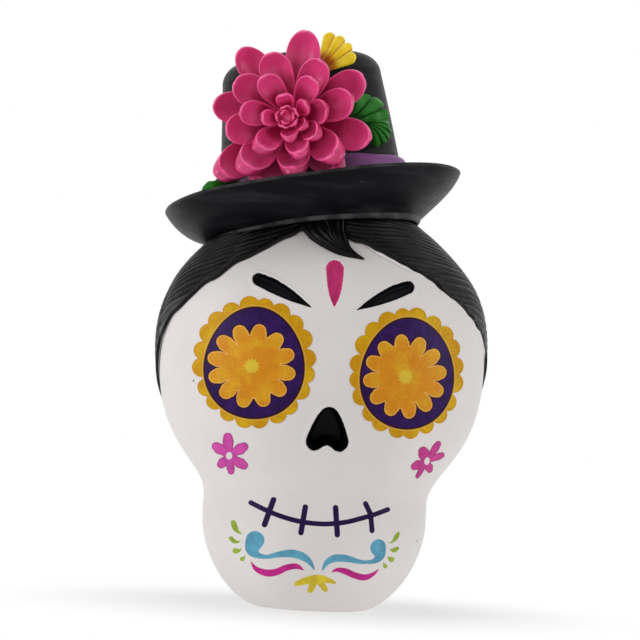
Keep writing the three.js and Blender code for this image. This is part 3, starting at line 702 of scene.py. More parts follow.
class SUGARSKULL_OT_stage(bpy.types.Operator):
    """Makes the floor, the lights, the sky and the camera"""
    bl_idname = "sugarskull.stage"
    bl_label = "Stage"

    def execute(self, context):
        settings = context.scene.sugarskull_stage
        self.floor(settings)
        self.sky(context, settings)
        for name, place, size, setting, part in LIGHTS:
            self.light(name, place, size, part * getattr(settings, setting))
        self.camera(context, settings)
        context.scene.view_settings.view_transform = "Standard"
        return {"FINISHED"}

    def floor(self, settings):
        """Floor that is seen pale, darker close to the object, and throws light up."""
        h = FLOOR_HALF
        mesh = bpy.data.meshes.new("floor")
        mesh.from_pydata([(-h, -h, 0), (h, -h, 0), (h, h, 0), (-h, h, 0)], [], [(0, 1, 2, 3)])
        paint, tree, shader = new_material("floor_paint")
        shader.inputs["Base Color"].default_value = (*settings.floor, 1.0)
        shader.inputs["Roughness"].default_value = 0.9
        shader.inputs["Specular IOR Level"].default_value = 0.0
        glow = put(tree, "ShaderNodeEmission", {"Color": (1.0, 1.0, 1.0), "Strength": 1.0})
        place = put(tree, "ShaderNodeTexCoord").outputs["Object"]
        far = put(tree, "ShaderNodeVectorMath", {0: place}, operation="LENGTH").outputs["Value"]
        fade = ramp(tree, far, FADE_START, FADE_END, FADE_LEVEL, 1.0)
        seen = sums(tree, "MAXIMUM", sums(tree, "MULTIPLY", self.seen(tree), fade), settings.bounce)
        both = put(tree, "ShaderNodeMixShader", {0: seen, 1: shader.outputs[0], 2: glow.outputs[0]})
        tree.links.new(both.outputs[0], tree.nodes["Material Output"].inputs["Surface"])
        mesh.materials.append(paint)
        made = bpy.data.objects.new("floor", mesh)
        bpy.context.scene.collection.objects.link(made)

    def seen(self, tree):
        """1 for what the camera, a reflection or glass sees."""
        path = put(tree, "ShaderNodeLightPath").outputs
        total = sums(tree, "ADD", path["Is Camera Ray"], path["Is Glossy Ray"])
        return put(tree, "ShaderNodeMath", {0: total, 1: path["Is Transmission Ray"]}, operation="ADD",
                   use_clamp=True).outputs[0]

    def sky(self, context, settings):
        """Even light from all round, which is seen white."""
        world = bpy.data.worlds.new("sky")
        world.use_nodes = True
        tree = world.node_tree
        back = tree.nodes["Background"]
        back.inputs["Color"].default_value = (1.0, 1.0, 1.0, 1.0)
        level = put(tree, "ShaderNodeMapRange",
                    {"Value": self.seen(tree), "To Min": settings.sky, "To Max": 1.0})
        tree.links.new(level.outputs[0], back.inputs["Strength"])
        context.scene.world = world

    def light(self, name, place, size, watts):
        """Round soft light that faces the object."""
        lamp = bpy.data.lights.new(name, "AREA")
        lamp.shape = "DISK"
        lamp.size = size
        lamp.energy = watts
        made = bpy.data.objects.new(name, lamp)
        made.location = place
        aim = np.array(LIGHT_AIM) - np.array(place)
        flat = math.hypot(aim[0], aim[1])
        made.rotation_euler = (math.atan2(flat, -aim[2]), 0.0, math.atan2(aim[1], aim[0]) - math.pi / 2)
        bpy.context.scene.collection.objects.link(made)

    def camera(self, context, settings):
        """Camera before the face, far off and rolled a little."""
        azimuth = math.radians(CAMERA_AZIMUTH)
        data = bpy.data.cameras.new("camera")
        data.sensor_width = SENSOR
        data.lens = SENSOR * settings.distance / (PICTURE * PIXEL * MM)
        data.shift_x = PICTURE_SHIFT / PICTURE
        made = bpy.data.objects.new("camera", data)
        made.rotation_mode = "QUATERNION"
        place = settings.distance * np.array([math.sin(azimuth), -math.cos(azimuth), 0.0])
        made.location = place + np.array(CAMERA_AIM)
        stand = Euler((math.pi / 2, 0.0, azimuth)).to_quaternion()
        made.rotation_quaternion = stand @ Quaternion((0.0, 0.0, 1.0), math.radians(CAMERA_ROLL))
        bpy.context.scene.collection.objects.link(made)
        context.scene.camera = made


class SUGARSKULL_OT_skull(bpy.types.Operator):
    """Makes the white skull with its carved brows, nose and forehead drop"""
    bl_idname = "sugarskull.skull"
    bl_label = "Skull"

    def execute(self, context):
        settings = context.scene.sugarskull_skull
        # Columns and rows, close together where the face is carved
        azimuth = np.radians(ladder(-180, (-42, 2.5), (42, 0.27), (177.5, 2.5)))
        chin = JAW * (1 - np.cos(np.radians(np.linspace(0, 90, 46))))
        face = ladder(JAW, (51, 1.0), (74, 0.25), (99, 1.0), (124, 0.25))[1:]
        crown = CHEEK + DOME * np.sin(np.linspace(math.asin((124.4 - CHEEK) / DOME), math.radians(89), 12))
        a, z = np.meshgrid(azimuth, np.concatenate([chin, face, crown]))
        bare = skull_point(a, z, np.zeros_like(a))
        x = bare[..., 0]
        front = bare[..., 1] < 0
        brow, tilt = self.brows(x, z)
        nose = outline_distance(x, z, self.nose())
        centre = DROP_TOP - DROP_RADIUS
        drop = stroke(x, z, spline([(0, DROP_TIP + 0.2, 0.15), (0, mix(DROP_TIP, centre, 0.28), 1.6),
                                    (0, mix(DROP_TIP, centre, 0.6), 2.55), (0, centre, DROP_RADIUS)], 6))
        brow, nose, drop = (np.where(front, v, UNCARVED) for v in (brow, nose, drop))
        out = -settings.brow_depth / MM * smooth(-brow, -0.15, 1.05) * tilt
        out -= settings.nose_depth / MM * 1.3 * smooth(-nose, -0.1, 1.9)
        out -= settings.drop_depth / MM * smooth(-drop, -0.1, 0.7)
        for edge, lip in ((brow, BROW_LIP), (nose, NOSE_LIP), (drop, DROP_LIP)):
            out += lip * ridge(edge, 0.5, 0.5)
        out += cast_wave(bare)
        points, faces = lathe(skull_point(a, z, out), (0, 0, 0), (0, 0, SKULL_TOP))
        marks = {"brow": brow, "nose": nose, "drop": drop}
        marks = {k: np.append(v.ravel(), [UNCARVED, UNCARVED]) for k, v in marks.items()}
        make_piece("skull_cast", points, faces, self.material(settings), ["skull"], marks)
        return {"FINISHED"}

    def brows(self, x, z):
        """Distance to the nearer brow, and how deep its floor lies, deepest along the upper edge."""
        side = np.abs(x)
        (ox, oz), (tx, tz) = BROW_OUTER, BROW_TIP
        gap = stroke(side, z, spline([(tx, tz, 0.15), (mix(tx, ox, 0.35), mix(tz, oz, 0.38), 1.7),
                                      (mix(tx, ox, 0.72), mix(tz, oz, 0.76), 2.45), (ox, oz, 2.2)], 6))
        run = math.hypot(ox - tx, oz - tz)
        over = ((z - tz) * (ox - tx) - (side - tx) * (oz - tz)) / run
        return gap, mix(0.55, 1.1, smooth(over, -1.5, 1.8))

    def nose(self):
        """Outline of the nose: an upturned heart, from shares of its half width and height."""
        shares = ((0.0, 0.0), (0.14, 0.012), (0.27, 0.045), (0.39, 0.1), (0.54, 0.2), (0.7, 0.35),
                  (0.84, 0.51), (0.97, 0.68), (1.0, 0.77), (0.96, 0.87), (0.82, 0.945), (0.63, 0.99),
                  (0.44, 0.975), (0.27, 0.925), (0.12, 0.875), (0.0, 0.855))
        size = np.array([NOSE_HALF, NOSE_BOTTOM - NOSE_TOP - 0.2])
        side = np.array([0, NOSE_TOP + 0.2]) + spline(shares, 5) * size
        return np.vstack([side, side[1:-1][::-1] * np.array([-1, 1])])

    def material(self, settings):
        made, tree, shader = new_material("bone_paint")
        paint = bone(tree, settings)
        carved = sums(tree, "MINIMUM", mark(tree, "brow"), mark(tree, "nose"))
        uneven = ramp(tree, noise(tree, 700.0), 0.3, 0.7, -0.05, 0.05)
        black = use(tree, ink_over(), Under=paint["Colour"], Ink=settings.carving,
                    Distance=sums(tree, "ADD", carved, uneven), Softness=0.1)
        pink = use(tree, watercolour(), Pale=settings.drop, Deep=deeper(settings.drop, 0.8), Size=220.0)
        both = use(tree, ink_over(), Under=black["Colour"], Ink=pink["Colour"],
                   Distance=sums(tree, "ADD", mark(tree, "drop"), uneven), Softness=0.1)
        base = both["Colour"]
        place = put(tree, "ShaderNodeTexCoord").outputs["Object"]
        # Each pinhole is painted as a dark dot, a painted shade for a hole that is not cut.
        for x, z, radius in PINHOLES:
            spot = tuple(face_point(np.array(x), np.array(z), np.array(0.0)) * MM)
            gap = put(tree, "ShaderNodeVectorMath", {0: place, 1: spot}, operation="DISTANCE")
            gap = sums(tree, "MULTIPLY", gap.outputs["Value"], 1 / MM)
            base = use(tree, ink_over(), Under=base, Ink=settings.carving,
                       Distance=sums(tree, "SUBTRACT", gap, radius), Softness=0.2)["Colour"]
        gloss = put(tree, "ShaderNodeMapRange",
                    {"Value": black["Mask"], "To Min": paint["Roughness"], "To Max": 0.42})
        dress(tree, shader, base, gloss.outputs[0], paint["Height"], 0.12, SKIN, 0.07)
        return made


class SUGARSKULL_OT_hair(bpy.types.Operator):
    """Makes the combed hair and the forelock"""
    bl_idname = "sugarskull.hair"
    bl_label = "Hair"

    def execute(self, context):
        settings = context.scene.sugarskull_hair
        material = self.material(settings, context.scene.sugarskull_skull)
        self.cap(settings, material)
        self.forelock(settings, material)
        return {"FINISHED"}

    def hairline(self, azimuth):
        """Height of the hair's border at an azimuth in degrees."""
        side = np.abs(azimuth - PARTING)
        temple = TEMPLE - PARTING * np.sign(azimuth - PARTING)
        back = mix(TEMPLE_HEIGHT, NAPE_HEIGHT, np.sin(np.clip((side - temple) / 34, 0, 1) * math.pi / 2))
        t = np.maximum(0, side - HAIRLINE_FLAT) / (temple - HAIRLINE_FLAT)
        front = mix(PARTING_HEIGHT, TEMPLE_HEIGHT, 0.7 * t + 0.3 * t * t)
        return np.where(side > temple, back, front)

    def height_along(self, run):
        """Height at a length along the skull's side, counted from the cheek."""
        return np.where(run < 0, CHEEK + run, CHEEK + DOME * np.sin(np.maximum(run, 0) / DOME))

    def length_at(self, z):
        """Length along the skull's side at a height."""
        return np.where(z < CHEEK, z - CHEEK, DOME * np.arcsin(np.clip((z - CHEEK) / DOME, 0, 1)))

    def locks(self, across, seed, pitch):
        """Counts uneven locks across the comb's path: whole numbers lie in the grooves."""
        rng = np.random.default_rng(seed)
        edges = np.cumsum(pitch * rng.uniform(0.65, 1.35, 260)) - 110 * pitch
        return np.interp(across, edges, np.arange(len(edges)))

    def groove(self, lane):
        """1 in the grooves between locks and 0 on their crests."""
        return (0.5 + 0.5 * np.cos(2 * math.pi * lane)) ** 2

    def cap(self, settings, material):
        """Hair over the head: rings from its lining round the border to the crown."""
        thick, pitch = settings.thickness / MM, settings.strand_pitch / MM
        degrees = np.linspace(-180, 180, 900, endpoint=False)
        shares = np.concatenate([np.linspace(0, 1, 12) ** 2 * 0.03, np.linspace(0.03, 0.78, 210)[1:],
                                 [0.85, 0.92, 1.0]])
        az, s = np.meshgrid(degrees, shares)
        ring = np.stack([az, az * 0, az * 0], -1)
        start = self.length_at(self.hairline(az) + 0.65 * wobble(ring, 7.0, 21))
        run = mix(start, HAIR_TOP, s)
        z = self.height_along(run)
        a = np.radians(az)
        bare = skull_point(a, z, np.zeros_like(z))
        inward = run - start
        full = mix(thick, HAIR_CROWN, smooth(z, CHEEK + 0.45 * DOME, CHEEK + 0.75 * DOME))
        # Along the right temple the border is soft, and the skull's white runs over it
        right = smooth(az, 14.0, 24.0) * smooth(-az, -88.0, -74.0)
        lip = mix(rounded(inward, 1.3), smooth(inward, 0.0, 2.8), right)
        rise = lip * mix(HAIR_EDGE, full, smooth(s, 0.0, HAIR_RISE))
        rise *= 1 - HAIR_SUNK * smooth(s, 0.64, 0.6)
        # Grooves between the locks, shallower in patches and gone at the border
        strand = self.combed(az, run) + 0.9 * wobble(bare, 26.0, 31) + 0.1 * wobble(bare, 9.0, 32)
        lane = self.locks(strand, 41, pitch)
        combed = mix(0.45, 1.0, smooth(wobble(bare, 30.0, 33), -0.7, 0.5))
        combed *= smooth(inward, 0.8, 4.5) * smooth(180 - np.abs(az), 0.0, 3.0)
        rise = rise - settings.strand_depth / MM * self.groove(lane) * combed
        outer = skull_point(a, z, 0.04 + HAIR_FIT * smooth(inward, 0.0, 1.0) + rise)
        lining = np.full(len(degrees), HAIR_LINING)
        under = np.stack([skull_point(a[0], self.height_along(mix(start[0], HAIR_TOP, v)), lining)
                          for v in (1.0, 0.7, 0.4, 0.2, 0.08, 0.02)])
        points, faces = lathe(np.concatenate([under, outer]), (0, 0, SKULL_TOP + HAIR_LINING),
                              (0, 0, SKULL_TOP + HAIR_FIT + HAIR_CROWN))
        border = inward - right * (1.0 + 0.25 * wobble(bare, 6.0, 34))
        marks = {}
        for key, values, hidden in (("lane", lane, 0.0), ("combed", combed, 0.0), ("border", border, 5.0)):
            values = np.vstack([np.full(under.shape[:2], hidden), values])
            marks[key] = np.append(values, [hidden, hidden])
        make_piece("hair_cap_cast", points, faces, material, ["hair_cap"], marks)

    def combed(self, az, run):
        """Coordinate that is constant along a strand: strands fall from the parting to the temples."""
        angle = np.arange(0, 200.0)
        left = np.interp(angle, [0, 30, 75, 110, 150, 200], [0.3, 0.36, 0.38, 0.6, 0.85, 0.85])
        right = np.interp(angle, [0, 40, 75, 110, 150, 200], [0.03, 0.09, 0.15, 0.45, 0.85, 0.85])
        side = np.abs(az - PARTING)
        return run + np.where(az < PARTING, np.interp(side, angle, np.cumsum(left)),
                              np.interp(side, angle, np.cumsum(right)))

    def forelock(self, settings, material):
        """Lock that tapers from the parting over the forehead."""
        lower, upper = spline(LOCK_LOWER, 23), spline(LOCK_UPPER, 23)
        s = np.linspace(0, 1, len(lower))[:, None]
        v = np.linspace(0, 1, 61)[None]
        flat = lower[:, None] + (upper - lower)[:, None] * v[..., None]
        edge = np.minimum(v, 1 - v) * np.linalg.norm(upper - lower, axis=1)[:, None]
        body = mix(3.3, 1.3, smooth(s, 0.0, 0.9)) * (1 - 0.35 * (2 * v - 1) ** 2)
        strand = v * 15.0 + 0.5 * np.sin(4 * s + 7 * v)
        lane = self.locks(strand, 51, settings.strand_pitch / MM)
        combed = smooth(edge, 0.3, 1.0)
        body = body - 0.6 * self.groove(lane) * combed * smooth(s, 1.0, 0.75)
        out = HAIR_FIT + rounded(edge, 1.0) * body
        top = face_point(flat[..., 0], flat[..., 1], out)
        bottom = face_point(flat[..., 0], flat[..., 1], np.full(out.shape, 0.06))
        own = np.stack([lane, 0.5 * combed, np.full(out.shape, 9.0)], -1)
        points, faces = closed_sheet(np.concatenate([top, own], -1),
                                     np.concatenate([bottom, own * np.array([1, 0, 1])], -1))
        make_piece("forelock_cast", points, faces[:, ::-1], material, ["forelock"],
                   {"lane": points[:, 3], "combed": points[:, 4], "border": points[:, 5]})

    def material(self, settings, skull):
        made, tree, shader = new_material("hair_paint")
        paint = use(tree, hand_paint(), Colour=settings.black, Mottle=0.18, Size=90.0,
                    Roughness=0.34, Spread=0.2)
        lane = mark(tree, "lane")
        own = put(tree, "ShaderNodeTexWhiteNoise", {"W": sums(tree, "FLOOR", lane)}, noise_dimensions="1D")
        weight = put(tree, "ShaderNodeMapRange", {"Value": own.outputs["Value"], "To Min": 0.35}).outputs[0]
        combed = mark(tree, "combed")
        amount = sums(tree, "MULTIPLY", weight, combed)
        # Painted highlight: a thin pale line along the upper side of each lock, stronger in some lanes than
        # in others. Painted shade: darker paint in the grooves between locks and between strands.
        beside = sums(tree, "ABSOLUTE", sums(tree, "SUBTRACT", sums(tree, "FRACT", lane), 0.78))
        crest = sums(tree, "MULTIPLY", ramp(tree, beside, 0.17, 0.02), amount)
        groove = sums(tree, "MULTIPLY", self.parting(tree, lane, 1.0), amount)
        fine = sums(tree, "MULTIPLY", self.parting(tree, lane, 3.0), combed)
        relief = sums(tree, "SUBTRACT", sums(tree, "MULTIPLY", crest, 1.35), groove)
        relief = sums(tree, "SUBTRACT", relief, sums(tree, "MULTIPLY", fine, 0.3))
        hair = use(tree, carved_paint(), Colour=paint["Colour"], Ridge=settings.sheen,
                   Hollow=deeper(settings.black, 0.3), Relief=relief)
        white = use(tree, ink_over(), Under=hair["Colour"], Ink=bone(tree, skull)["Colour"],
                    Distance=mark(tree, "border"), Softness=0.15)
        skin = sums(tree, "SUBTRACT", paint["Height"], fine)
        dress(tree, shader, white["Colour"], paint["Roughness"], skin, 0.25, SKIN, 0.11)
        return made

    def parting(self, tree, lane, count):
        """1 in each groove between strands, with a count of strands in each lock."""
        across = sums(tree, "FRACT", sums(tree, "MULTIPLY", lane, count))
        away = sums(tree, "ABSOLUTE", sums(tree, "SUBTRACT", across, 0.5))
        return ramp(tree, away, 0.3, 0.5)


class SUGARSKULL_OT_hat(bpy.types.Operator):
    """Makes the black top hat and its band"""
    bl_idname = "sugarskull.hat"
    bl_label = "Hat"

    def execute(self, context):
        settings = context.scene.sugarskull_hat
        self.hat(settings)
        self.band(settings)
        return {"FINISHED"}

    def spin(self, outline):
        """Rings of an outline of radius and height, turned round the hat's axis."""
        angle = np.linspace(0, 2 * math.pi, HAT_COLUMNS, endpoint=False)
        r, z = outline[:, :1], outline[:, 1:2]
        return np.stack([r * np.cos(angle), r * np.sin(angle), z + 0 * angle], -1)

    def arc(self, centre, radius, start, end, count):
        """Points of radius and height along an arc."""
        a = np.radians(np.linspace(start, end, count))
        return np.stack([centre[0] + radius * np.cos(a), centre[1] + radius * np.sin(a)], -1)

    def hat(self, settings):
        """Hat turned from one outline, from under the brim to the top of the crown."""
        t = np.linspace(0, 1, 44)
        below = np.stack([np.linspace(1.0, BRIM_FOOT - 1.4, 30), np.full(30, -BRIM_RISE)], -1)
        roll = self.arc((BRIM_FOOT - 0.3, -BRIM_RISE + 0.3), ROLL_RADIUS, -135, 5, 9)
        under = bezier(brim_curve(0, 0), t)[3:]
        over = bezier(brim_curve(BRIM_FOOT_THICK, BRIM_THICK), t)[::-1]
        middle = (under[-1] + over[0]) / 2
        lift = under[-1] - middle
        a = np.linspace(0, math.pi, 12)[1:-1, None]
        edge = middle + np.cos(a) * lift + np.sin(a) * np.array([-lift[1], lift[0]]) * 1.2
        shoulder = CROWN_HEIGHT - CROWN_EDGE
        wall = np.linspace(CROWN_FOOT + 2.0, shoulder, 36)
        wall = np.stack([crown_radius(wall), wall], -1)
        fillet = bezier((over[-1], (CROWN_FOOT_RADIUS, CROWN_FOOT), wall[0]), np.linspace(0, 1, 8)[1:-1])
        rim = self.arc((crown_radius(shoulder) - CROWN_EDGE, shoulder), CROWN_EDGE, 0, 90, 16)[1:]
        top = np.stack([np.linspace(rim[-1, 0], 1.0, 14)[1:], np.full(13, CROWN_HEIGHT)], -1)
        # Parts of the outline, and how much paler the paint is on each: a painted highlight along the rolled
        # lip under the brim, and wear on the brim's edge and the crown's rim
        parts = (below, roll, under, edge, over, fillet, wall, rim, top)
        rubbed_and_lit = (0.0, 1.0, 0.0, 0.6, 0.0, 0.0, 0.0, 0.3, 0.0)
        rings = brim_shaped(self.spin(np.vstack(parts)))
        seat, shown = rings[:len(below)], rings[len(below):]
        seat[:] = self.seat(seat)
        bend = settings.unevenness / MM * np.array([0.4, 0.4, 1.0])
        shown += wobble(shown, 40.0, 61)[..., None] * bend
        points, faces = lathe(rings, self.seat(np.array([[0, 0, -BRIM_RISE]]))[0], (0, 0, CROWN_HEIGHT))
        wear = np.concatenate([np.full(len(part), worn_and_lit) for part, worn_and_lit in zip(parts, rubbed_and_lit)])
        make_piece("hat_cast", on_hat(points), faces, self.material(settings), ["hat"],
                   {"wear": np.append(np.repeat(wear, HAT_COLUMNS), [0, 0])})

    def seat(self, p):
        """Raises the underside to clear the head."""
        p = p.copy()
        for _ in range(6):
            at = on_hat(p)
            q = (np.abs(at[..., 0] / (CHEEK_HALF + SEAT_GAP)) ** SECTION
                 + np.abs(at[..., 1] / (CHEEK_FRONT + SEAT_GAP)) ** SECTION) ** (1 / SECTION)
            head = CHEEK + (DOME + SEAT_GAP) * np.sqrt(np.maximum(0, 1 - q * q))
            p[..., 2] += head - at[..., 2]
        p[..., 2] = np.maximum(p[..., 2], -BRIM_RISE)
        return p

    def band(self, settings):
        """Band round the foot of the crown, with a painted shadow under the dahlia."""
        foot = CROWN_FOOT + 1.2
        outer = np.array([(crown_radius(foot) + 3.6, foot), (crown_radius(foot) + 4.4, foot + 1.0),
                          (crown_radius(0.0) + 3.1, 0.0), (crown_radius(5.0) + 2.2, 5.0),
                          (crown_radius(BAND_TOP - 1.2) + 2.0, BAND_TOP - 1.2),
                          (crown_radius(BAND_TOP) + 1.2, BAND_TOP),
                          (crown_radius(BAND_TOP) + 0.1, BAND_TOP + 0.1)])
        curve = spline(outer, 8)
        inside = np.array([(crown_radius(z) + 0.05, z) for z in np.linspace(BAND_TOP, foot, 8)])
        rings = brim_shaped(self.spin(np.vstack([curve, inside])))
        away = np.concatenate([np.ones(len(curve)), np.zeros(len(inside))])[:, None, None]
        rings += away * wobble(rings, 16.0, 71)[..., None] * 0.35
        index = np.arange(rings.shape[0] * rings.shape[1]).reshape(rings.shape[:2])
        faces = grid_faces(np.vstack([index, index[:1]]), closed=True)
        made, tree, shader = new_material("band_paint")
        paint = use(tree, hand_paint(), Colour=settings.band, Mottle=0.22, Size=110.0,
                    Roughness=0.45, Spread=0.2)
        shaded = blend(tree, mark(tree, "open"), settings.band_shade, paint["Colour"])
        dress(tree, shader, shaded, paint["Roughness"], paint["Height"], 0.25, SKIN, 0.2)
        # Painted shadow: the band is painted darker round the front, where the dahlia and the lower leaf hang
        # over it.
        round_hat = np.degrees(np.arctan2(rings[..., 0], -rings[..., 1])).ravel()
        unshaded = np.maximum(smooth(round_hat, 10.0, 38.0), smooth(-round_hat, 84.0, 108.0))
        make_piece("hat_band_cast", on_hat(rings.reshape(-1, 3)), faces, made, ["hat_band"],
                   {"open": unshaded})

    def material(self, settings):
        made, tree, shader = new_material("hat_paint")
        paint = use(tree, hand_paint(), Colour=settings.black, Mottle=0.12, Size=45.0,
                    Roughness=0.4, Spread=0.22)
        chip = sums(tree, "SUBTRACT", 0.805, noise(tree, 520.0, 1.0))
        # Painted sheen: lighter streaks, drawn out round the hat, stand in for reflections on the black
        # paint.
        place = put(tree, "ShaderNodeTexCoord").outputs["Object"]
        drawn = put(tree, "ShaderNodeVectorMath", {0: place, 1: (1.0, 1.0, 6.0)},
                    operation="MULTIPLY").outputs[0]
        streak = ramp(tree, noise(tree, 38.0, 4.0, drawn), 0.48, 0.74, 0.0, 0.75)
        painted_sheen = blend(tree, streak, paint["Colour"], settings.sheen)
        # Paler paint on the marked parts, in patches: a painted highlight on the rolled lip, wear on the
        # edges. The pale chips are wear.
        patchy = ramp(tree, noise(tree, 160.0, 3.0), 0.35, 0.65, 0.25, 0.9)
        rubbed_and_lit = blend(tree, sums(tree, "MULTIPLY", mark(tree, "wear"), patchy), painted_sheen, settings.wear)
        worn_and_lit = use(tree, ink_over(), Under=rubbed_and_lit, Ink=srgb(96, 92, 94), Distance=chip, Softness=0.012)
        dress(tree, shader, worn_and_lit["Colour"], paint["Roughness"], paint["Height"], 0.15, SKIN, 0.06)
        return made


# Rows of petals: each petal has its angle round the flower, its reach and its half width
PETAL_ROWS = {
    "outer": {"root": 1.6, "slope": (2, 40, 108), "cup": 2.6, "petals": (
        (80, 31.3, 6.0), (28, 29.1, 6.0), (-17, 29.2, 5.7), (310, 22.6, 6.2),
        (245, 22.6, 6.4), (219, 28.4, 6.2), (168, 27.4, 5.8), (125, 30.6, 5.6))},
    "second": {"root": 5.4, "slope": (10, 50, 116), "cup": 2.4, "petals": (
        (106, 24.0, 5.5), (60, 23.0, 5.5), (14, 23.4, 5.6), (320, 20.4, 5.6),
        (276, 17.6, 5.6), (229, 20.8, 6.0), (192, 21.9, 5.5), (143, 23.0, 5.8))},
    "third": {"root": 8.6, "slope": (22, 60, 116), "cup": 1.9, "petals": (
        (119, 17.0, 4.4), (57, 16.3, 4.4), (9, 14.2, 4.4), (327, 11.0, 3.6),
        (289, 12.2, 4.2), (228, 13.0, 4.5), (171, 16.4, 4.5))},
    "inner": {"root": 11.2, "slope": (40, 74, 112), "cup": 1.1, "petals": (
        (100, 8.2, 3.1), (32, 8.2, 3.0), (330, 6.2, 2.6), (276, 6.8, 3.2), (180, 8.4, 3.0))},
}


class SUGARSKULL_OT_dahlia(bpy.types.Operator):
    """Makes the dahlia: its core, four rows of cupped petals and the bud"""
    bl_idname = "sugarskull.dahlia"
    bl_label = "Dahlia"

    def execute(self, context):
        settings = context.scene.sugarskull_flower
        material = self.material(settings)
        self.axes, self.middle = outward_frame(DAHLIA_AZIMUTH, DAHLIA_HEIGHT, DAHLIA_PITCH,
                                               0.25 * CORE_RADIUS)
        rng = np.random.default_rng(81)
        for name, row in PETAL_ROWS.items():
            for i, (angle, reach, half) in enumerate(row["petals"]):
                node = f"petal_{name}_{i + 1}"
                lift = math.sin(math.radians(angle))
                up, down = max(0.0, lift), float(smooth(np.array(-lift), 0.15, 0.75))
                first, last, curled = row["slope"]
                shape = {"half": half * rng.uniform(0.97, 1.03), "root": row["root"] + rng.uniform(-0.4, 0.4),
                         "slope": (first + 4 * down - 4 * up, mix(last - 8 * up, curled, down)),
                         "curl": mix(1.2, 2.6, down), "blunt": mix(2.0, 2.3, down), "down": down,
                         "cup": row["cup"] * rng.uniform(0.9, 1.1) * mix(1.25, 1.5, down), "reach": reach,
                         "thick": settings.petal_thickness / MM, "core": True, "seed": 100 + i}
                points, faces = self.petal(angle - FLOWER_TURN, shape)
                make_piece(node + "_cast", self.placed(points), faces, material, [node],
                           {"relief": points[:, 3]})
        self.core(material)
        self.bud(material)
        return {"FINISHED"}

    def placed(self, points):
        """Hangs points of the flower's frame on the crown, lower towards the front."""
        hung = points[:, :3].copy()
        hung[:, 1] += FLOWER_RAISED - FLOWER_DROOP * hung[:, 2]
        return on_hat(hung @ self.axes + self.middle)

    def petal(self, angle, shape):
        """Spoon-shaped petal: points with a shading that is high on the rim and -1 deep in the cup, for its
        painted light and shade.
        """
        start, end = (math.radians(v) for v in shape["slope"])
        full, thick, root = shape["half"], shape["thick"], shape["root"]
        rng = np.random.default_rng(shape["seed"])
        inner = 0.5
        if shape["core"]:
            inner = mix(CORE_RADIUS, CORE_TIP, np.clip((root - 1) / (CORE_HEIGHT - 1), 0, 1))
        deep = shape["down"] * min(1.0, (full / 5.4) ** 2)
        reach = shape["reach"] + 0.75 * shape["cup"] * math.sin(min(end, math.pi / 2)) - 2.6 * deep
        # Spine, bent from the root's slope to the tip's
        path = np.linspace(0, 1, 201)
        bend = mix(start, end, (0.5 * path[1:] + 0.5 * path[:-1]) ** shape["curl"])
        along = np.append(0, np.cumsum(np.cos(bend))) * path[1]
        rise = np.append(0, np.cumsum(np.sin(bend))) * path[1]
        run = (reach - inner) / along.max()
        tip = np.sin(np.radians(np.linspace(0, 88.5, 16)[1:]))
        s = np.concatenate([np.linspace(0, PETAL_WIDEST, 16), mix(PETAL_WIDEST, 1.0, tip)])[:, None]
        t = np.sin(np.radians(np.linspace(-90, 90, 31)))[None]
        slope = mix(start, end, s ** shape["curl"])
        r = inner + run * np.interp(s, path, along)
        h = root + run * np.interp(s, path, rise)
        # Width, cup and distance from the rim over the blade
        beyond = np.maximum(0, (s - PETAL_WIDEST) / (1 - PETAL_WIDEST))
        blunt = shape["blunt"]
        spread = np.where(s < PETAL_WIDEST, mix(0.42, 1.0, np.sin(math.pi / 2 * s / PETAL_WIDEST)),
                          np.maximum(0, 1 - beyond ** blunt) ** (1 / blunt))
        half = full * spread
        outward = (beyond ** blunt + (spread * np.abs(t)) ** blunt) ** (1 / blunt)
        cup = shape["cup"] * np.minimum(1, 2.2 * s) * (outward ** 2 - 1.1 * shape["down"] * beyond ** 2)
        edge = np.where(s < PETAL_WIDEST, (1 - np.abs(t)) * half, (1 - outward) * full)
        pin_rim(edge)
        round_edge = rounded(edge, RIM_ROUND)
        lip = 0.14 * ridge(edge, 0.45, 0.35) * smooth(s, 0.1, 0.4)
        wave = 0.2 * np.sin(rng.uniform(0, 6) + 3.5 * t + 3 * s) * s

        def side(out, relief):
            lift = cup + wave + out
            return np.stack([r - lift * np.sin(slope), half * t + 0 * s, h + lift * np.cos(slope),
                             relief], -1)
        # Painted light and shade: dark at the root, paler towards the tip and more so on the lower petals,
        # whose cups face up. The paler rim is partly wear and partly a painted highlight.
        relief = mix(-1.0, 0.3 + 0.4 * shape["down"], smooth(s, 0.15, 0.9)) * smooth(edge, 0.1, 1.2)
        top = side(0.5 * thick * round_edge + lip, relief + 0.6 * ridge(edge, 0, 0.34))
        body = 0.5 * thick * (1 + 4.6 * deep * smooth(s, 0.3, 0.85))
        round_back = rounded(edge, mix(RIM_ROUND, 1.6, deep))
        # Painted shade on the underside, darkest at the root.
        low = side(-body * round_back, mix(-1.0, -0.55, s * np.ones_like(t)))
        points, faces = closed_sheet(top, low)
        a = math.radians(angle)
        x, y = points[:, 0].copy(), points[:, 1].copy()
        points[:, 0], points[:, 1] = x * math.cos(a) - y * math.sin(a), x * math.sin(a) + y * math.cos(a)
        return points, faces[:, ::-1]

